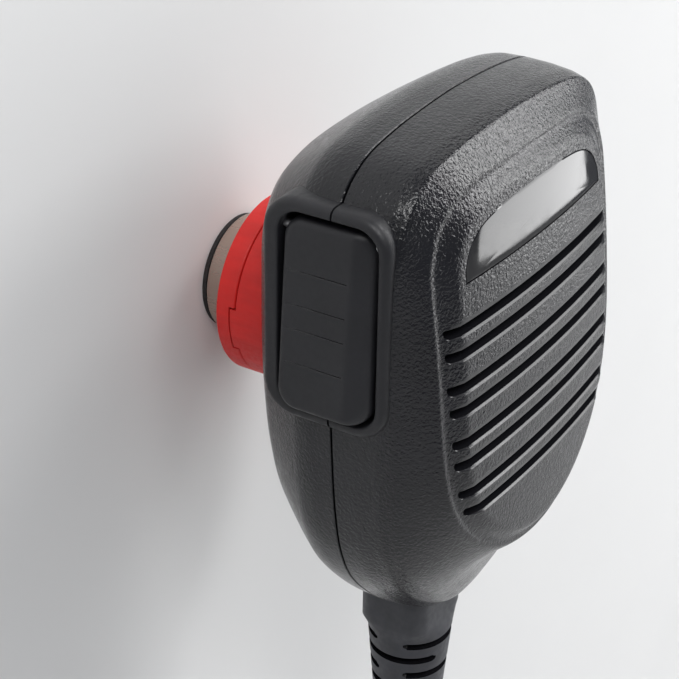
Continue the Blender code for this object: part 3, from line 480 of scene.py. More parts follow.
PARTING, BACK, RIDGE, PLATEAU = (
    Outline(half) for half in (PARTING_HALF, BACK_HALF, RIDGE_HALF, PLATEAU_HALF))
BEARINGS = even_bearings(PARTING)


def mix(first, second, t):
    return first + (second - first) * t


def inset(ring, depth):
    """Pull a ring inwards, square to its own line."""
    along = np.roll(ring, -1, 0) - np.roll(ring, 1, 0)
    along /= np.linalg.norm(along, axis=1)[:, None]
    return ring + np.stack([along[:, 1], -along[:, 0]], 1) * depth


def shrunk(ring, factor):
    """Scale a ring towards the hub."""
    middle = np.array([0, HUB_Z])
    return middle + (ring - middle) * factor


def plateau_y(x, z):
    """Depth of the gently crowned front plateau."""
    rise = z - PLATEAU_LEVEL
    return PLATEAU_Y + PLATEAU_LEAN * rise + PLATEAU_BOW * rise * rise + PLATEAU_CROWN * x * x


def panel_y(x, z):
    """Depth of the front panel, with the bevel between plateau and ridge."""
    bearings = bearing_of(x, z)
    reach = np.hypot(x, z - CENTRE_Z)
    inner, outer = PLATEAU.reach(bearings), RIDGE.reach(bearings)
    bevel = np.clip((reach - inner) / (outer - inner), 0, 1)
    return plateau_y(x, z) + RIDGE_DROP * bevel


def at_depth(ring, y):
    """Give an X-Z ring its depth, a number or a function of x and z."""
    depth = y(ring[:, 0], ring[:, 1]) if callable(y) else np.full(len(ring), float(y))
    return np.stack([ring[:, 0], depth, ring[:, 1]], 1)


def fine_rows(rings, step=ROW_STEP):
    """Fill in rows between rings, then round the creases across them."""
    rows = [rings[0]]
    for first, second in zip(rings, rings[1:]):
        count = max(1, math.ceil(np.linalg.norm(second - first, axis=1).mean() / step))
        rows += [mix(first, second, (i + 1) / count) for i in range(count)]
    rows = np.stack(rows)
    reach = SMOOTHING_REACH
    head = 2 * rows[:1] - rows[reach:0:-1]
    tail = 2 * rows[-1:] - rows[-2:-reach - 2:-1]
    padded = np.concatenate([head, rows, tail])
    offsets = np.arange(-reach, reach + 1)
    weights = np.exp(-0.5 * (offsets / EDGE_SOFTNESS) ** 2)
    weights /= weights.sum()
    smooth = sum(w * padded[reach + k:reach + k + len(rows)] for k, w in zip(offsets, weights))
    return list(smooth)


# ---------------------------------------------------------------- mesh helpers
FILLET_STEPS = 4


def mesh_object(name, points, faces, slot):
    """A mesh in one material, from points in millimetres, with its normals pointing out."""
    mesh = bpy.data.meshes.new(name)
    mesh.from_pydata([tuple(p) for p in np.asarray(points, float) * MM], [], faces)
    mesh.materials.append(MATERIALS[slot])
    shape = bmesh.new()
    shape.from_mesh(mesh)
    bmesh.ops.remove_doubles(shape, verts=shape.verts, dist=1e-7)
    bmesh.ops.recalc_face_normals(shape, faces=shape.faces)
    shape.to_mesh(mesh)
    shape.free()
    obj = bpy.data.objects.new(name, mesh)
    bpy.context.scene.collection.objects.link(obj)
    return obj


def loft(name, rings, slot):
    """Skin rings of equal length; a ring of one point closes an end."""
    points, starts, faces = [], [], []
    for ring in rings:
        starts.append(len(points))
        points += [tuple(p) for p in ring]
    for (a, ring), (b, following) in zip(zip(starts, rings), zip(starts[1:], rings[1:])):
        count = max(len(ring), len(following))
        for i in range(count):
            j = (i + 1) % count
            if len(ring) == 1:
                faces.append((a, b + i, b + j))
            elif len(following) == 1:
                faces.append((a + i, b, a + j))
            else:
                faces.append((a + i, b + i, b + j, a + j))
    for start, ring in ((starts[0], rings[0]), (starts[-1], rings[-1])):
        if len(ring) > 1:
            faces.append(tuple(start + i for i in range(len(ring))))
    return mesh_object(name, points, faces, slot)


def turned(name, profile, axis, middle, slot, steps=128):
    """A profile of (radius, place along axis), turned about the axis through middle."""
    angles = 2 * math.pi * np.arange(steps) / steps
    order = {"X": (2, 0, 1), "Y": (0, 2, 1), "Z": (0, 1, 2)}[axis]
    closed = profile[0][0] > 0 and profile[-1][0] > 0
    rings = []
    for radius, along in profile:
        if radius == 0:
            flat = np.array([[0.0, 0.0, along]])
        else:
            flat = np.stack([radius * np.cos(angles), radius * np.sin(angles),
                             np.full(steps, along)], 1)
        rings.append(flat[:, order] + np.array(middle))
    if not closed:
        return loft(name, rings, slot)
    return mesh_object(name, np.vstack(rings), tube_faces(len(rings), steps), slot)


def filleted(points, radius):
    """Round a profile's inner corners; its first and last points stay."""
    p = [np.array(q, float) for q in points]
    made = [p[0]]
    for before, corner, after in zip(p, p[1:], p[2:]):
        back, ahead = before - corner, after - corner
        reach = min(radius, 0.45 * np.linalg.norm(back), 0.45 * np.linalg.norm(ahead))
        start = corner + back / np.linalg.norm(back) * reach
        end = corner + ahead / np.linalg.norm(ahead) * reach
        for i in range(FILLET_STEPS + 1):
            t = i / FILLET_STEPS
            made.append((1 - t) ** 2 * start + 2 * t * (1 - t) * corner + t * t * end)
    made.append(p[-1])
    return [tuple(q) for q in made]


def rounded(low, high, corner, per=8):
    """A rounded rectangle between two opposite corners, anticlockwise, as (u, v)."""
    made = []
    middles = [(high[0] - corner, high[1] - corner, 0), (low[0] + corner, high[1] - corner, 90),
               (low[0] + corner, low[1] + corner, 180), (high[0] - corner, low[1] + corner, 270)]
    for u, v, start in middles:
        for step in range(per + 1):
            angle = math.radians(start + 90 * step / per)
            made.append((u + corner * math.cos(angle), v + corner * math.sin(angle)))
    return made


def joined(name, objects):
    """Merge cutters that don't overlap into one object."""
    shape = bmesh.new()
    slots = []
    for obj in objects:
        start = len(shape.faces)
        shape.from_mesh(obj.data)
        shape.faces.ensure_lookup_table()
        for face in shape.faces[start:]:
            face.material_index = len(slots)
        slots.append(obj.data.materials[0])
        bpy.data.objects.remove(obj, do_unlink=True)
    mesh = bpy.data.meshes.new(name)
    shape.to_mesh(mesh)
    shape.free()
    for slot in slots:
        mesh.materials.append(slot)
    tool = bpy.data.objects.new(name, mesh)
    bpy.context.scene.collection.objects.link(tool)
    return tool


def carve(target, operation, tools):
    """Apply a boolean with several tools, whose cut faces keep their own materials."""
    tool = joined(target.name + "_tool", tools)
    step = target.modifiers.new("carve", "BOOLEAN")
    step.operation = operation
    step.solver = "EXACT"
    step.material_mode = "TRANSFER"
    step.object = tool
    evaluated = target.evaluated_get(bpy.context.evaluated_depsgraph_get())
    solid = bpy.data.meshes.new_from_object(evaluated)
    target.modifiers.clear()
    target.data = solid
    bpy.data.objects.remove(tool, do_unlink=True)
    return target


def show(obj, body, slot, *nodes, angle=30.0):
    """Finish a piece: smooth shading, sharp edges by angle, and its place in the frame."""
    obj.data.shade_smooth()
    obj.data.set_sharp_from_angle(angle=math.radians(angle))
    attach(obj, body)
    if nodes:
        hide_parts(*nodes)
    return obj


# ---------------------------------------------------------------- case
SEAM_FRONT = low_mm("rear_shell").y - 0.3
SEAM_REAR = low_mm("rear_shell").y
SEAM_LIP = 0.12              # softened edge on both sides of the seam
SHOULDER_START = 0.2         # share of the way from the parting line to the ridge
SHOULDER_Y = -46.6           # and its depth there
SHOULDER_POWER = 0.85


def shoulder_ring(t):
    """A ring part way from the parting line to the ridge, drawn in further at the foot."""
    foot = np.exp(-((BEARINGS - math.pi) / FOOT_SPREAD) ** 2)
    share = np.minimum(t * (1 + FOOT_TUCK * foot * (1 - t)), 1.0)[:, None]
    return mix(PARTING.ring(), RIDGE.ring(), share)


def front_skin():
    border = [at_depth(inset(PARTING.ring(), SEAM_LIP), SEAM_FRONT),
              at_depth(PARTING.ring(), SEAM_FRONT - SEAM_LIP),
              at_depth(shoulder_ring(0.02), -41.0), at_depth(shoulder_ring(0.09), -44.5),
              at_depth(shoulder_ring(SHOULDER_START), SHOULDER_Y)]
    shoulder = []
    for s in (0.2, 0.4, 0.6, 0.8, 1.0):
        ring = shoulder_ring(SHOULDER_START + (1 - SHOULDER_START) * s)
        ridge = panel_y(ring[:, 0], ring[:, 1]) - RIDGE_LIP
        depth = SHOULDER_Y + (ridge - SHOULDER_Y) * s ** SHOULDER_POWER
        shoulder.append(np.stack([ring[:, 0], depth, ring[:, 1]], 1))
    panel = [at_depth(inset(RIDGE.ring(), 0.35), lambda x, z: panel_y(x, z) - RIDGE_LIP),
             at_depth(inset(RIDGE.ring(), 0.9), lambda x, z: panel_y(x, z) + RIDGE_LIP),
             at_depth(PLATEAU.ring(), plateau_y)]
    panel += [at_depth(shrunk(PLATEAU.ring(), k), plateau_y) for k in (0.8, 0.6, 0.4, 0.2, 0.06)]
    outer = [border[0]] + fine_rows(border[1:] + shoulder + panel)
    middle = [(0, plateau_y(0, HUB_Z), HUB_Z)]
    inner = [at_depth(inset(PARTING.ring(), WALL), SEAM_FRONT),
             at_depth(inset(mix(PARTING.ring(), RIDGE.ring(), 0.09), WALL), -43.6),
             at_depth(inset(mix(PARTING.ring(), RIDGE.ring(), 0.35), WALL), -46.4),
             at_depth(inset(RIDGE.ring(), WALL), lambda x, z: plateau_y(x, z) + RIDGE_DROP + WALL),
             at_depth(inset(PLATEAU.ring(), 1.0), lambda x, z: plateau_y(x, z) + WALL + 0.1),
             at_depth(shrunk(PLATEAU.ring(), 0.5), lambda x, z: plateau_y(x, z) + WALL),
             [(0, plateau_y(0, HUB_Z) + WALL, HUB_Z)]]
    return loft("front_case", inner[::-1] + outer + [middle], "black_shell")


def rear_skin():
    steps = [(0.0, SEAM_REAR + SEAM_LIP), (0.01, -33.5), (0.08, -31.0), (0.28, -28.0), (0.5, -25.0),
             (0.72, -22.2), (0.93, -20.4), (1.0, BACK_Y)]
    outer = [at_depth(mix(PARTING.ring(), BACK.ring(), t), y) for t, y in steps]
    outer += [at_depth(shrunk(BACK.ring(), k), BACK_Y) for k in (0.8, 0.5, 0.25, 0.06)]
    outer = [at_depth(inset(PARTING.ring(), SEAM_LIP), SEAM_REAR)] + fine_rows(outer, 0.7)
    inner = [at_depth(inset(PARTING.ring(), WALL), SEAM_REAR),
             at_depth(inset(PARTING.ring(), WALL), -32.5),
             at_depth(inset(mix(PARTING.ring(), BACK.ring(), 0.4), WALL), -28.2),
             at_depth(inset(mix(PARTING.ring(), BACK.ring(), 0.95), WALL), BACK_Y - WALL),
             [(0, BACK_Y - WALL, HUB_Z)]]
    return loft("rear_case", inner[::-1] + outer + [[(0, BACK_Y, HUB_Z)]], "black_shell")


# button frame; its corners are (y, z)
POCKET_LOW, POCKET_HIGH, POCKET_CORNER = (-44.5, 0.7), (-29.0, 30.2), 3.4
BEZEL_LOW, BEZEL_HIGH, BEZEL_CORNER = (-46.2, -1.1), (-26.4, 31.9), 5.0
BEZEL_FACE = -31.4
POCKET_FLOOR = -24.0


def frame_ring(low, high, corner, grow, x, per=10):
    """A rounded rectangle in the Y-Z plane, grown by an amount, at one x."""
    low = (low[0] - grow, low[1] - grow)
    high = (high[0] + grow, high[1] + grow)
    return [(x, y, z) for y, z in rounded(low, high, corner + grow, per)]


def bezel(name, y_low, y_high):
    """The raised frame round the button, on one shell."""
    steps = [(0.0, -26.0), (0.0, -29.9), (-0.05, -30.4), (-0.2, -30.82), (-0.48, -31.16),
             (-0.85, -31.34), (-1.25, BEZEL_FACE)]
    rings = [frame_ring(BEZEL_LOW, BEZEL_HIGH, BEZEL_CORNER, grow, x) for grow, x in steps]
    frame_piece = loft(name, rings, "black_button")
    low, high = Vector((-40, y_low, -10)), Vector((-20, y_high, 40))
    corners = [(x, y, z) for x in (low.x, high.x) for y in (low.y, high.y) for z in (low.z, high.z)]
    faces = [(0, 1, 3, 2), (4, 6, 7, 5), (0, 4, 5, 1), (2, 3, 7, 6), (0, 2, 6, 4), (1, 5, 7, 3)]
    keep = mesh_object(name + "_keep", corners, faces, "black_button")
    return carve(frame_piece, "INTERSECT", [keep])


def pocket_tool():
    """The opening for the button, with a rounded rim."""
    steps = [(0.0, POCKET_FLOOR), (0.0, -30.95), (0.05, -31.16), (0.16, -31.32), (0.4, -31.44),
             (0.5, -36.0)]
    rings = [frame_ring(POCKET_LOW, POCKET_HIGH, POCKET_CORNER, grow, x) for grow, x in steps]
    return loft("pocket_tool", rings, "black_button")


# sound slots
SLOT_TOP = 13.8              # lower edge of the first slot
SLOT_PITCH = 3.45
SLOT_PAIR_PITCH = 4.93
SLOT_OPEN = 1.5
SLOT_HALF_LENGTHS = [24.8, 24.8, 24.8, 24.6, 24.4, 24.1, 23.2, 21.9]
HOOD_HEIGHT = 0.75           # smooth slope above each opening
HOOD_DEPTH = 0.18
RIM = 0.27                   # chamfer that catches light along each lower edge
SLOT_DEPTH = 4.5             # the cutter goes this far into the case,
SLOT_PROUD = 2.0             # and stands out this far in front of the panel


def slot_levels():
    level, made = SLOT_TOP, []
    for number in range(len(SLOT_HALF_LENGTHS)):
        made.append(level)
        level -= SLOT_PITCH if number % 2 == 0 else SLOT_PAIR_PITCH
    return made


def slot_tool(number, level, half_length):
    """A stadium-shaped cutter: hood slope on top, opening below, chamfer at the lower rim."""
    half_height = (SLOT_OPEN + HOOD_HEIGHT) / 2
    middle = level + half_height
    ends = [half_length - half_height + half_height * math.sin(math.radians(a))
            for a in range(0, 90, 12)]
    ends.append(half_length - 0.003)
    straight = list(np.linspace(-ends[0], ends[0], 33))
    rings = []
    for x in [-e for e in reversed(ends[1:])] + straight + ends[1:]:
        past = max(0.0, abs(x) - (half_length - half_height))
        half = max(0.05, math.sqrt(max(0.0, half_height ** 2 - past ** 2)))
        low, high = middle - half, middle + half
        lip = min(level + SLOT_OPEN, high - 0.3 * half)
        lip = max(lip, low + 0.3 * half)
        slope = HOOD_DEPTH * (high - lip) / HOOD_HEIGHT
        x = float(x)
        at_high, at_lip, at_low = panel_y(x, high), panel_y(x, lip), panel_y(x, low)
        rings.append([(x, at_high - SLOT_PROUD, high), (x, at_high - 0.01, high),
                      (x, at_lip + slope, lip), (x, at_lip + SLOT_DEPTH, lip),
                      (x, at_low + SLOT_DEPTH, low), (x, at_low + RIM, low),
                      (x, at_low - 0.01, low - RIM), (x, at_low - SLOT_PROUD, low - RIM)])
    return loft(f"slot_tool_{number}", rings, "smooth_black")


# label window
LABEL_WIDTH, LABEL_FOOT = 20.3, 20.7  # half its width, and its lower edge
LABEL_HALF = [(LABEL_WIDTH, LABEL_FOOT), (20.0, 23.0), (18.2, 25.6), (14.6, 27.4), (8.5, 28.3),
              (0, 28.6)]
LABEL_MIDDLE, LABEL_HALF_HEIGHT = 24.4, 3.9
LABEL_FOOT_POINTS = 60


def label_ring(grow, drop, rows):
    """Outline of the label, grown and dropped below the plateau, filled towards its middle."""
    right = catmull(LABEL_HALF, False, 8)
    outline = np.vstack([right, right[-2::-1] * (-1, 1)])
    along = np.linspace(-LABEL_WIDTH, LABEL_WIDTH, LABEL_FOOT_POINTS)[1:-1]
    outline = np.vstack([outline, np.stack([along, np.full(len(along), LABEL_FOOT)], 1)])
    middle = np.array([0, LABEL_MIDDLE])
    stretch = np.array([1 + grow / LABEL_WIDTH, 1 + grow / LABEL_HALF_HEIGHT])
    rings = []
    for k in rows:
        ring = middle + (outline - middle) * stretch * k
        rings.append(at_depth(ring, lambda x, z: plateau_y(x, z) + drop))
    return rings


def label_recess_tool():
    mouth = label_ring(0.12, -2.0, [1.0])
    floor = label_ring(0.12, 0.55, [1.0])
    return loft("label_tool", mouth + floor, "smooth_black")


def make_label():
    base = label_ring(0.0, 0.5, [1.0])
    side = label_ring(0.0, 0.12, [1.0])
    bevel = label_ring(-0.12, 0.03, [1.0])
    face = label_ring(-0.12, 0.02, [0.93, 0.8, 0.6, 0.4, 0.2, 0.05])
    window = loft("window_lens", base + side + bevel + face, "gloss_black")
    show(window, "mic", "gloss_black", "label_window")


def collar_tool():
    """The opening for the strain relief's collar, which is 0.1 mm smaller all round."""
    low, high, corner = (-7.6, CORD_Y - 6.1), (7.6, CORD_Y + 6.1), 3.1
    rings = [[(x, y, z) for x, y in rounded(low, high, corner)] for z in (-60.0, -37.8)]
    return loft("collar_tool", rings, "smooth_black")


def screw_sinks():
    """Chamfered counterbores for the four case screws."""
    steps = [(0, -2.1), (3.1, -2.1), (3.1, -0.25), (3.35, 0.01), (3.35, 3), (0, 3)]
    profile = [(radius, BACK_Y + rise) for radius, rise in steps]
    tools = []
    for number in range(1, 5):
        spot = middle_mm(f"case_screw_{number}")
        place = (spot.x, 0, spot.z)
        tools.append(turned(f"sink_{number}", profile, "Y", place, "smooth_black", 48))
    return tools


def make_case():
    front = carve(front_skin(), "UNION", [bezel("bezel_front", -50.0, SEAM_FRONT)])
    slots = [slot_tool(n, level, half)
             for n, (level, half) in enumerate(zip(slot_levels(), SLOT_HALF_LENGTHS), start=1)]
    carve(front, "DIFFERENCE", slots + [label_recess_tool()])
    carve(front, "DIFFERENCE", [pocket_tool(), collar_tool()])
    show(front, "mic", "black_shell", "front_shell")
    rear = carve(rear_skin(), "UNION", [bezel("bezel_rear", SEAM_REAR, -25.0)])
    carve(rear, "DIFFERENCE", [pocket_tool(), collar_tool()] + screw_sinks())
    show(rear, "mic", "black_shell", "rear_shell")


# ---------------------------------------------------------------- push-to-talk button
BUTTON_LOW, BUTTON_HIGH, BUTTON_CORNER = (-44.0, 1.4), (-29.8, 29.3), 2.9
BUTTON_BACK = -27.5
BUTTON_TOP_FACE, BUTTON_FOOT_FACE = -31.2, -33.3
FACET_Y = -40.6
FACET_SLOPE = 0.4
FACET_SOFTNESS = 0.06
BUTTON_EDGE = 1.1            # radius of the rounded edge round the face
BUTTON_ROW_STEP = 0.35
GROOVE_LEVELS = [22.0, 17.1, 13.6, 8.6]
GROOVE_DEPTH = 0.15
GROOVE_RUN_OUT = 5.0         # length in which a groove fades towards the back


def button_face(y, z):
    """The button's face: leaning out towards its foot, sloping back in front of the facet line."""
    t = (z - BUTTON_LOW[1]) / (BUTTON_HIGH[1] - BUTTON_LOW[1])
    lean = BUTTON_FOOT_FACE + (BUTTON_TOP_FACE - BUTTON_FOOT_FACE) * t
    past = FACET_Y - y
    soft = 0.5 * (past + np.sqrt(past * past + FACET_SOFTNESS))
    return lean + FACET_SLOPE * soft


def make_button():
    steps = [(BUTTON_EDGE * (1 - math.cos(a)), BUTTON_EDGE * (1 - math.sin(a)))
             for a in np.linspace(0, math.pi / 2, 8)]
    half = (BUTTON_HIGH[0] - BUTTON_LOW[0]) / 2
    inward = np.arange(BUTTON_EDGE + BUTTON_ROW_STEP, half - 0.4, BUTTON_ROW_STEP)
    steps += [(depth, 0.0) for depth in inward]
    outline = dense_loop(rounded(BUTTON_LOW, BUTTON_HIGH, BUTTON_CORNER, 12), 0.4)
    rings = [[(BUTTON_BACK, y, z) for y, z in outline]]
    for depth, drop in steps:
        inner = inset_loop(outline, depth)
        rings.append([(float(button_face(y, z)) + drop, y, z) for y, z in inner])
    button = loft("talk_button", rings, "black_button")
    grooves = []
    for number, level in enumerate(GROOVE_LEVELS, start=1):
        sections = []
        for y in np.linspace(FACET_Y + 0.5, BUTTON_HIGH[0] - 1.0, 12):
            face = float(button_face(y, level))
            depth = GROOVE_DEPTH * min(1.0, (BUTTON_HIGH[0] - 0.9 - y) / GROOVE_RUN_OUT)
            sections.append([(face - 1.0, y, level + 0.16), (face - 0.01, y, level + 0.13),
                             (face + depth, y, level), (face - 0.01, y, level - 0.13),
                             (face - 1.0, y, level - 0.16)])
        grooves.append(loft(f"groove_tool_{number}", sections, "smooth_black"))
    carve(button, "DIFFERENCE", grooves)
    show(button, "ptt", "black_button", "ptt_button")


def dense_loop(points, step):
    """A closed loop with its points no further apart than step."""
    made = []
    for a, b in zip(points, points[1:] + points[:1]):
        gap = math.dist(a, b)
        if gap < 1e-6:
            continue
        count = max(1, round(gap / step))
        made += [(a[0] + (b[0] - a[0]) * i / count, a[1] + (b[1] - a[1]) * i / count)
                 for i in range(count)]
    return made


def inset_loop(outline, depth):
    """Pull a rounded rectangle's points towards its middle line by a depth."""
    low = [min(p[k] for p in outline) for k in (0, 1)]
    high = [max(p[k] for p in outline) for k in (0, 1)]
    made = []
    for point in outline:
        place = []
        for k in (0, 1):
            middle, half = (low[k] + high[k]) / 2, (high[k] - low[k]) / 2
            place.append(middle + (point[k] - middle) * (half - depth) / half)
        made.append(tuple(place))
    return made


# ---------------------------------------------------------------- wall button and ring
CUP_BACK = high_mm("magnet_cup").y
CUP_FRONT = low_mm("magnet_cup").y
RING_BACK = high_mm("ring_cap").y
RING_FRONT = low_mm("ring_base").y
RING_SEAM = -9.9
RING_STEP = 1.0
RING_TAB_FROM = math.radians(172)
RING_TAB_SPAN = math.radians(30)
RING_CHAMBER = 12.0          # radius of the room for the strike plate
RING_BORE = 9.9
RING_LIP = 0.6               # the room starts this far behind the wall button's face
RING_FLOOR = -13.6
SEAM_GAP = 0.24


def tab_tool(name, inner, outer, half_span, y_low, y_high):
    """One ring sector where the seam steps towards the wall."""
    middle = RING_TAB_FROM + RING_TAB_SPAN / 2
    angles = np.linspace(middle - half_span, middle + half_span, 17)
    loop = [(outer * math.cos(a), outer * math.sin(a)) for a in angles]
    loop += [(inner * math.cos(a), inner * math.sin(a)) for a in reversed(angles)]
    return loft(name, [[(u, y, v) for u, v in loop] for y in (y_low, y_high)], "red_plastic")


def make_ring():
    edge = RING_RADIUS
    lip = CUP_FRONT + RING_LIP
    profile = filleted([(RING_BORE + 0.5, lip), (RING_BORE, lip), (RING_BORE, RING_BACK),
                        (edge, RING_BACK), (edge, RING_SEAM + SEAM_GAP),
                        (RING_CHAMBER, RING_SEAM + SEAM_GAP), (RING_CHAMBER, lip)], 0.35)
    cap = turned("ring_front_half", profile, "Y", (0, 0, 0), "red_plastic", 160)
    notch = tab_tool("ring_notch", RING_CHAMBER - 1, edge + 1, RING_TAB_SPAN / 2, RING_SEAM - 1,
                     RING_SEAM + RING_STEP + SEAM_GAP)
    carve(cap, "DIFFERENCE", [notch])
    show(cap, "mic", "red_plastic", "ring_cap", angle=35)
    profile = filleted([(6.8, RING_FLOOR - 0.9), (6.8, RING_FLOOR), (RING_CHAMBER, RING_FLOOR),
                        (RING_CHAMBER, RING_SEAM), (edge, RING_SEAM), (edge, RING_FRONT),
                        (5.0, RING_FRONT)], 0.12)
    base = turned("ring_rear_half", profile, "Y", (0, 0, 0), "red_plastic", 160)
    tab = tab_tool("ring_tab", RING_CHAMBER + 0.01, edge - 0.001,
                   RING_TAB_SPAN / 2 - math.radians(1.1), RING_SEAM - 0.8, RING_SEAM + RING_STEP)
    carve(base, "UNION", [tab])
    show(base, "mic", "red_plastic", "ring_base", angle=35)


def make_wall_button():
    profile = filleted([(8.0, CUP_FRONT + 3.0), (8.0, CUP_FRONT), (CUP_RADIUS, CUP_FRONT),
                        (CUP_RADIUS, CUP_BACK), (4.0, CUP_BACK)], 0.3)
    cup = turned("wall_cup", profile, "Y", (0, 0, 0), "nickel", 144)
    show(cup, "wall_mount", "nickel", "magnet_cup")
    radius = high_mm("wall_pad").x
    back, front = high_mm("wall_pad").y, low_mm("wall_pad").y
    profile = filleted([(0, back), (radius, back), (radius, front), (0, front)], 0.12)
    pad = turned("wall_pad_disc", profile, "Y", (0, 0, 0), "pad_foam", 144)
    show(pad, "wall_mount", "pad_foam", "wall_pad")


# ---------------------------------------------------------------- strain relief
COLLAR_X, COLLAR_Y, COLLAR_CORNER = 15.0, 12.0, 3.0
COLLAR_TOP, COLLAR_END = -38.2, -51.8
TAPER_TOP = -54.6
TAPER_TOP_RADIUS, TAPER_TIP_RADIUS = 7.0, 3.8
SLOT_ROWS = 10
SLOT_ROW_TOP = -55.4
SLOT_ROW_PITCH = 3.15
SLOT_ROW_HEIGHT = 1.3
SLOT_CORE, SLOT_OUTSIDE = 3.7, 9.5  # radii between which a slot is cut
SLOT_HALF_ANGLE = math.radians(70)
SLOT_TURN = math.radians(0.7)  # keeps the slots' edges off the sleeve's own edges
RELIEF_RAYS = 96
ROD_ROWS = 61


def relief_loop(width, depth, corner, z):
    """A rounded rectangle round the cord line, read at even angles."""
    outline = rounded((-width / 2, -depth / 2), (width / 2, depth / 2), corner, 16)
    loop = np.array(dense_loop(outline, 0.2))
    angles = np.arctan2(loop[:, 1], loop[:, 0]) % (2 * math.pi)
    want = 2 * math.pi * np.arange(RELIEF_RAYS) / RELIEF_RAYS
    reach = np.interp(want, angles, np.hypot(loop[:, 0], loop[:, 1]), period=2 * math.pi)
    return np.stack([reach * np.cos(want), CORD_Y + reach * np.sin(want),
                     np.full(RELIEF_RAYS, z)], 1)


def relief_slot(name, z, middle):
    """A slot with rounded ends, cut in from outside."""
    half = SLOT_ROW_HEIGHT / 2
    sections = []
    for k in range(-12, 13):
        t = k / 12
        angle = middle + SLOT_HALF_ANGLE * t
        past = max(0.0, abs(t) - 0.93) / 0.07
        tall = half * math.sqrt(max(0.02, 1 - past * past * 0.9))
        corners = ((SLOT_CORE, -tall), (SLOT_OUTSIDE, -tall),
                   (SLOT_OUTSIDE, tall), (SLOT_CORE, tall))
        sections.append([(r * math.cos(angle), CORD_Y + r * math.sin(angle), z + h)
                         for r, h in corners])
    return loft(name, sections, "smooth_black")


def make_strain_relief():
    rings = [relief_loop(COLLAR_X, COLLAR_Y, COLLAR_CORNER, z) for z in (COLLAR_TOP, COLLAR_END)]
    for t in (0.25, 0.5, 0.75):
        width = mix(COLLAR_X, 2 * TAPER_TOP_RADIUS, t)
        depth = mix(COLLAR_Y, 2 * TAPER_TOP_RADIUS, t)
        corner = mix(COLLAR_CORNER, TAPER_TOP_RADIUS - 0.01, t)
        rings.append(relief_loop(width, depth, corner, mix(COLLAR_END, TAPER_TOP, t)))
    for i in range(6):
        radius = mix(TAPER_TOP_RADIUS, TAPER_TIP_RADIUS, i / 5)
        level = mix(TAPER_TOP, RELIEF_TIP + 0.5, i / 5)
        rings.append(relief_loop(2 * radius, 2 * radius, radius - 0.001, level))
    rings = [rings[0]] + fine_rows(rings[1:], 0.8)
    tip = TAPER_TIP_RADIUS
    rings += [relief_loop(2 * tip - 0.3, 2 * tip - 0.3, tip - 0.2, RELIEF_TIP + 0.15),
              relief_loop(2 * tip - 1.0, 2 * tip - 1.0, tip - 0.6, RELIEF_TIP)]
    relief = loft("strain_sleeve", rings, "rubber")
    slots = []
    for row in range(SLOT_ROWS):
        for side in range(2):
            middle = SLOT_TURN + math.pi * side + (math.pi / 2 if row % 2 == 0 else 0)
            level = SLOT_ROW_TOP - row * SLOT_ROW_PITCH
            slots.append(relief_slot(f"relief_tool_{row}_{side}", level, middle))
    bore = CORD_RADIUS + 0.15
    slots.append(long_rod("relief_bore", bore, -35.0, RELIEF_TIP - 4, "smooth_black"))
    carve(relief, "DIFFERENCE", slots)
    bend(relief, "strain_relief")


def long_rod(name, radius, top, foot, slot):
    """A rod round the cord's line, in short rows so that it can bend."""
    levels = np.linspace(foot, top, ROD_ROWS)
    profile = [(0, foot)] + [(radius, float(z)) for z in levels] + [(0, top)]
    return turned(name, profile, "Z", (0, CORD_Y, 0), slot, 32)


def make_inner_cord():
    top, foot = high_mm("inner_cord").z, RELIEF_TIP + 0.8
    rod = long_rod("cord_in_sleeve", CORD_RADIUS, top, foot, "cord_rubber")
    bend(rod, "inner_cord")


def bend(obj, node):
    """Finish a piece between the case and the hanging cord: smooth shading, sharp edges by angle,
    its CAD node hidden and its transform baked into the mesh.
    """
    obj.data.shade_smooth()
    obj.data.set_sharp_from_angle(angle=math.radians(30))
    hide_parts(node)
    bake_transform(obj)


# ---------------------------------------------------------------- plug
PLUG_WALL_RADIUS = 7.2
PLUG_BODY_RADIUS = 8.2
PLUG_SKIN = 0.8
COUPLING_RADIUS = 9.4
PLUG_GAP = 0.3
KNURLS = 48
KNURL_DEPTH = 0.35
STEPS_A_KNURL = 6


def make_plug():
    top, body_top = high_mm("plug_relief").z, high_mm("plug_shell").z
    foot, shoulder = low_mm("coupling_ring").z, high_mm("coupling_ring").z + PLUG_GAP
    line = (0, CORD_Y, 0)
    sleeve_end = body_top + PLUG_GAP
    profile = filleted([(0, top), (3.4, top), (4.6, sleeve_end), (0, sleeve_end)], 0.5)
    show(turned("plug_sleeve", profile, "Z", line, "rubber", 64), "cord", "rubber", "plug_relief")
    wall, bore, rim = PLUG_WALL_RADIUS, PLUG_WALL_RADIUS - PLUG_SKIN, foot + 1.0
    profile = filleted([(0, body_top), (5.6, body_top), (7.0, body_top - 1.6),
                        (PLUG_BODY_RADIUS, body_top - 4.0), (PLUG_BODY_RADIUS, shoulder),
                        (wall, shoulder), (wall, rim), (bore, rim),
                        (bore, shoulder - PLUG_SKIN), (0, shoulder - PLUG_SKIN)], 0.3)
    show(turned("plug_body", profile, "Z", line, "nickel", 96), "cord", "nickel", "plug_shell")
    show(knurled_ring(shoulder - PLUG_GAP, foot), "coupling", "nickel", "coupling_ring")


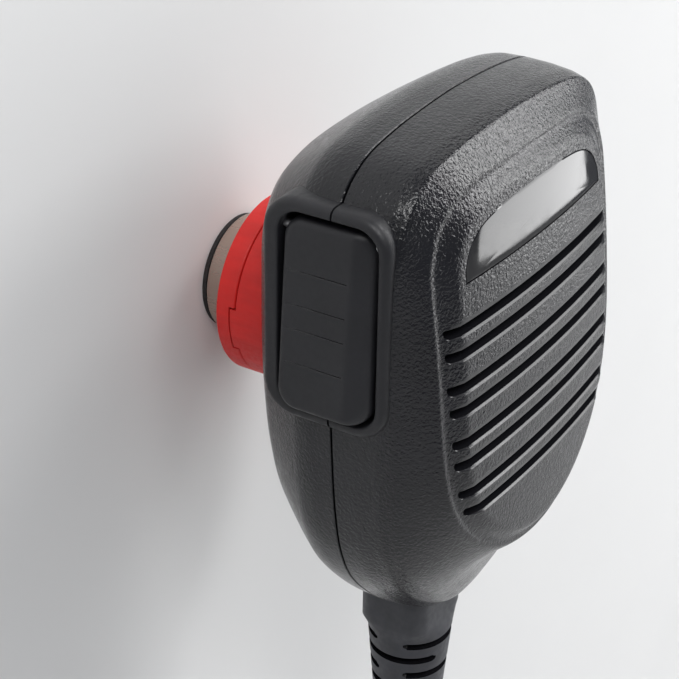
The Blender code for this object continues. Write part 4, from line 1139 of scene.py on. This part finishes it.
def knurled_ring(top, foot):
    """The plug's coupling ring, with straight knurls between two smooth edges."""
    inner, outer = PLUG_WALL_RADIUS + PLUG_GAP, COUPLING_RADIUS
    # radius, distance from the ring's end, share of the knurls' depth
    edge = [(inner, 0.0, 0.0), (outer - 0.6, 0.0, 0.0), (outer - 0.15, 0.25, 0.0),
            (outer, 0.6, 0.0), (outer, 1.3, 0.0), (outer, 1.7, 1.0)]
    rows = [(radius, top - depth, share) for radius, depth, share in edge]
    rows += [(radius, foot + depth, share) for radius, depth, share in reversed(edge)]
    steps = KNURLS * STEPS_A_KNURL
    angles = 2 * math.pi * np.arange(steps) / steps
    wave = 0.5 - 0.5 * np.cos(KNURLS * angles)
    points = []
    for radius, z, share in rows:
        reach = radius - KNURL_DEPTH * share * wave
        points.append(np.stack([reach * np.cos(angles), CORD_Y + reach * np.sin(angles),
                                np.full(steps, z)], 1))
    return mesh_object("knurled_ring", np.vstack(points), tube_faces(len(rows), steps), "nickel")


def tube_faces(rows, steps):
    """Quads of a closed ring of rows."""
    return [(k * steps + i, (k + 1) % rows * steps + i, (k + 1) % rows * steps + (i + 1) % steps,
             k * steps + (i + 1) % steps) for k in range(rows) for i in range(steps)]


# ---------------------------------------------------------------- stage and light
STAGE_REACH = 900.0
FLOOR_DROP = 25.0            # below the lowest point of the part
WALL_GAP = 0.02              # between the wall and the wall button's pad


def plane(name, corners, material):
    mesh = bpy.data.meshes.new(name)
    mesh.from_pydata([Vector(c) * MM for c in corners], [], [range(len(corners))])
    mesh.materials.append(material)
    obj = bpy.data.objects.new(name, mesh)
    bpy.context.scene.collection.objects.link(obj)
    return obj


def one_sided(nodes):
    """Make a stage material see-through from behind, so other views are open."""
    tree = nodes.tree
    back = tree.nodes.new("ShaderNodeNewGeometry").outputs["Backfacing"]
    clear = tree.nodes.new("ShaderNodeBsdfTransparent")
    either = tree.nodes.new("ShaderNodeMixShader")
    tree.links.new(back, either.inputs["Fac"])
    tree.links.new(nodes.shader.outputs["BSDF"], either.inputs[1])
    tree.links.new(clear.outputs["BSDF"], either.inputs[2])
    tree.links.new(either.outputs["Shader"], tree.nodes["Material Output"].inputs["Surface"])
    return nodes.material


def stage_paint(name, color):
    nodes = Nodes(name, color, 0.7)
    nodes.vary_color(nodes.noise(60.0), 0.985, 1.0)
    nodes.bump(nodes.noise(1.2), 0.12, 0.08)
    return nodes


def make_stage():
    paint = stage_paint("wall_paint", (0.74, 0.74, 0.735))
    ground = stage_paint("floor_paint", (0.56, 0.56, 0.56))
    far, floor = STAGE_REACH, CAD_BOX[0][2] / MM - FLOOR_DROP
    plane("wall", [(-far, WALL_GAP, floor), (far, WALL_GAP, floor), (far, WALL_GAP, far),
                   (-far, WALL_GAP, far)], one_sided(paint))
    plane("floor", [(-far, -far, floor), (far, -far, floor), (far, far, floor),
                    (-far, far, floor)], ground.material)


def area_light(name, place, aim, size, power):
    """A softbox; its place, aim and size are in metres, its power in watts."""
    data = bpy.data.lights.new(name, "AREA")
    data.shape = "RECTANGLE"
    data.size, data.size_y = size
    data.energy = power
    light = bpy.data.objects.new(name, data)
    bpy.context.scene.collection.objects.link(light)
    light.location = Vector(place)
    light.rotation_euler = (Vector(place) - Vector(aim)).to_track_quat("Z", "Y").to_euler()


def make_light():
    world = bpy.data.worlds.new("studio")
    world.use_nodes = True
    background = world.node_tree.nodes["Background"]
    background.inputs["Color"].default_value = (0.87, 0.91, 1.0, 1.0)
    background.inputs["Strength"].default_value = 0.23
    bpy.context.scene.world = world
    area_light("key", (0.66, -0.58, 0.90), (0, -0.03, 0), (0.3, 0.3), 3.6)
    area_light("side", (0.758, -0.518, 0.236), (0, -0.053, 0.236), (0.336, 0.969), 4.6)
    area_light("bevel", (0.69, -0.77, 0.378), (0, -0.05, 0.03), (0.24, 0.36), 2.3)
    area_light("overhead", (-0.50, -0.60, 0.95), (0, -0.03, 0), (0.7, 0.5), 8.5)
    bpy.context.scene.view_settings.view_transform = "Standard"


make_camera()
dress_frame()
cord, cord_points = make_cord()
make_stage()
make_light()
make_case()
make_label()
make_button()
make_ring()
make_wall_button()
make_strain_relief()
make_inner_cord()
make_plug()
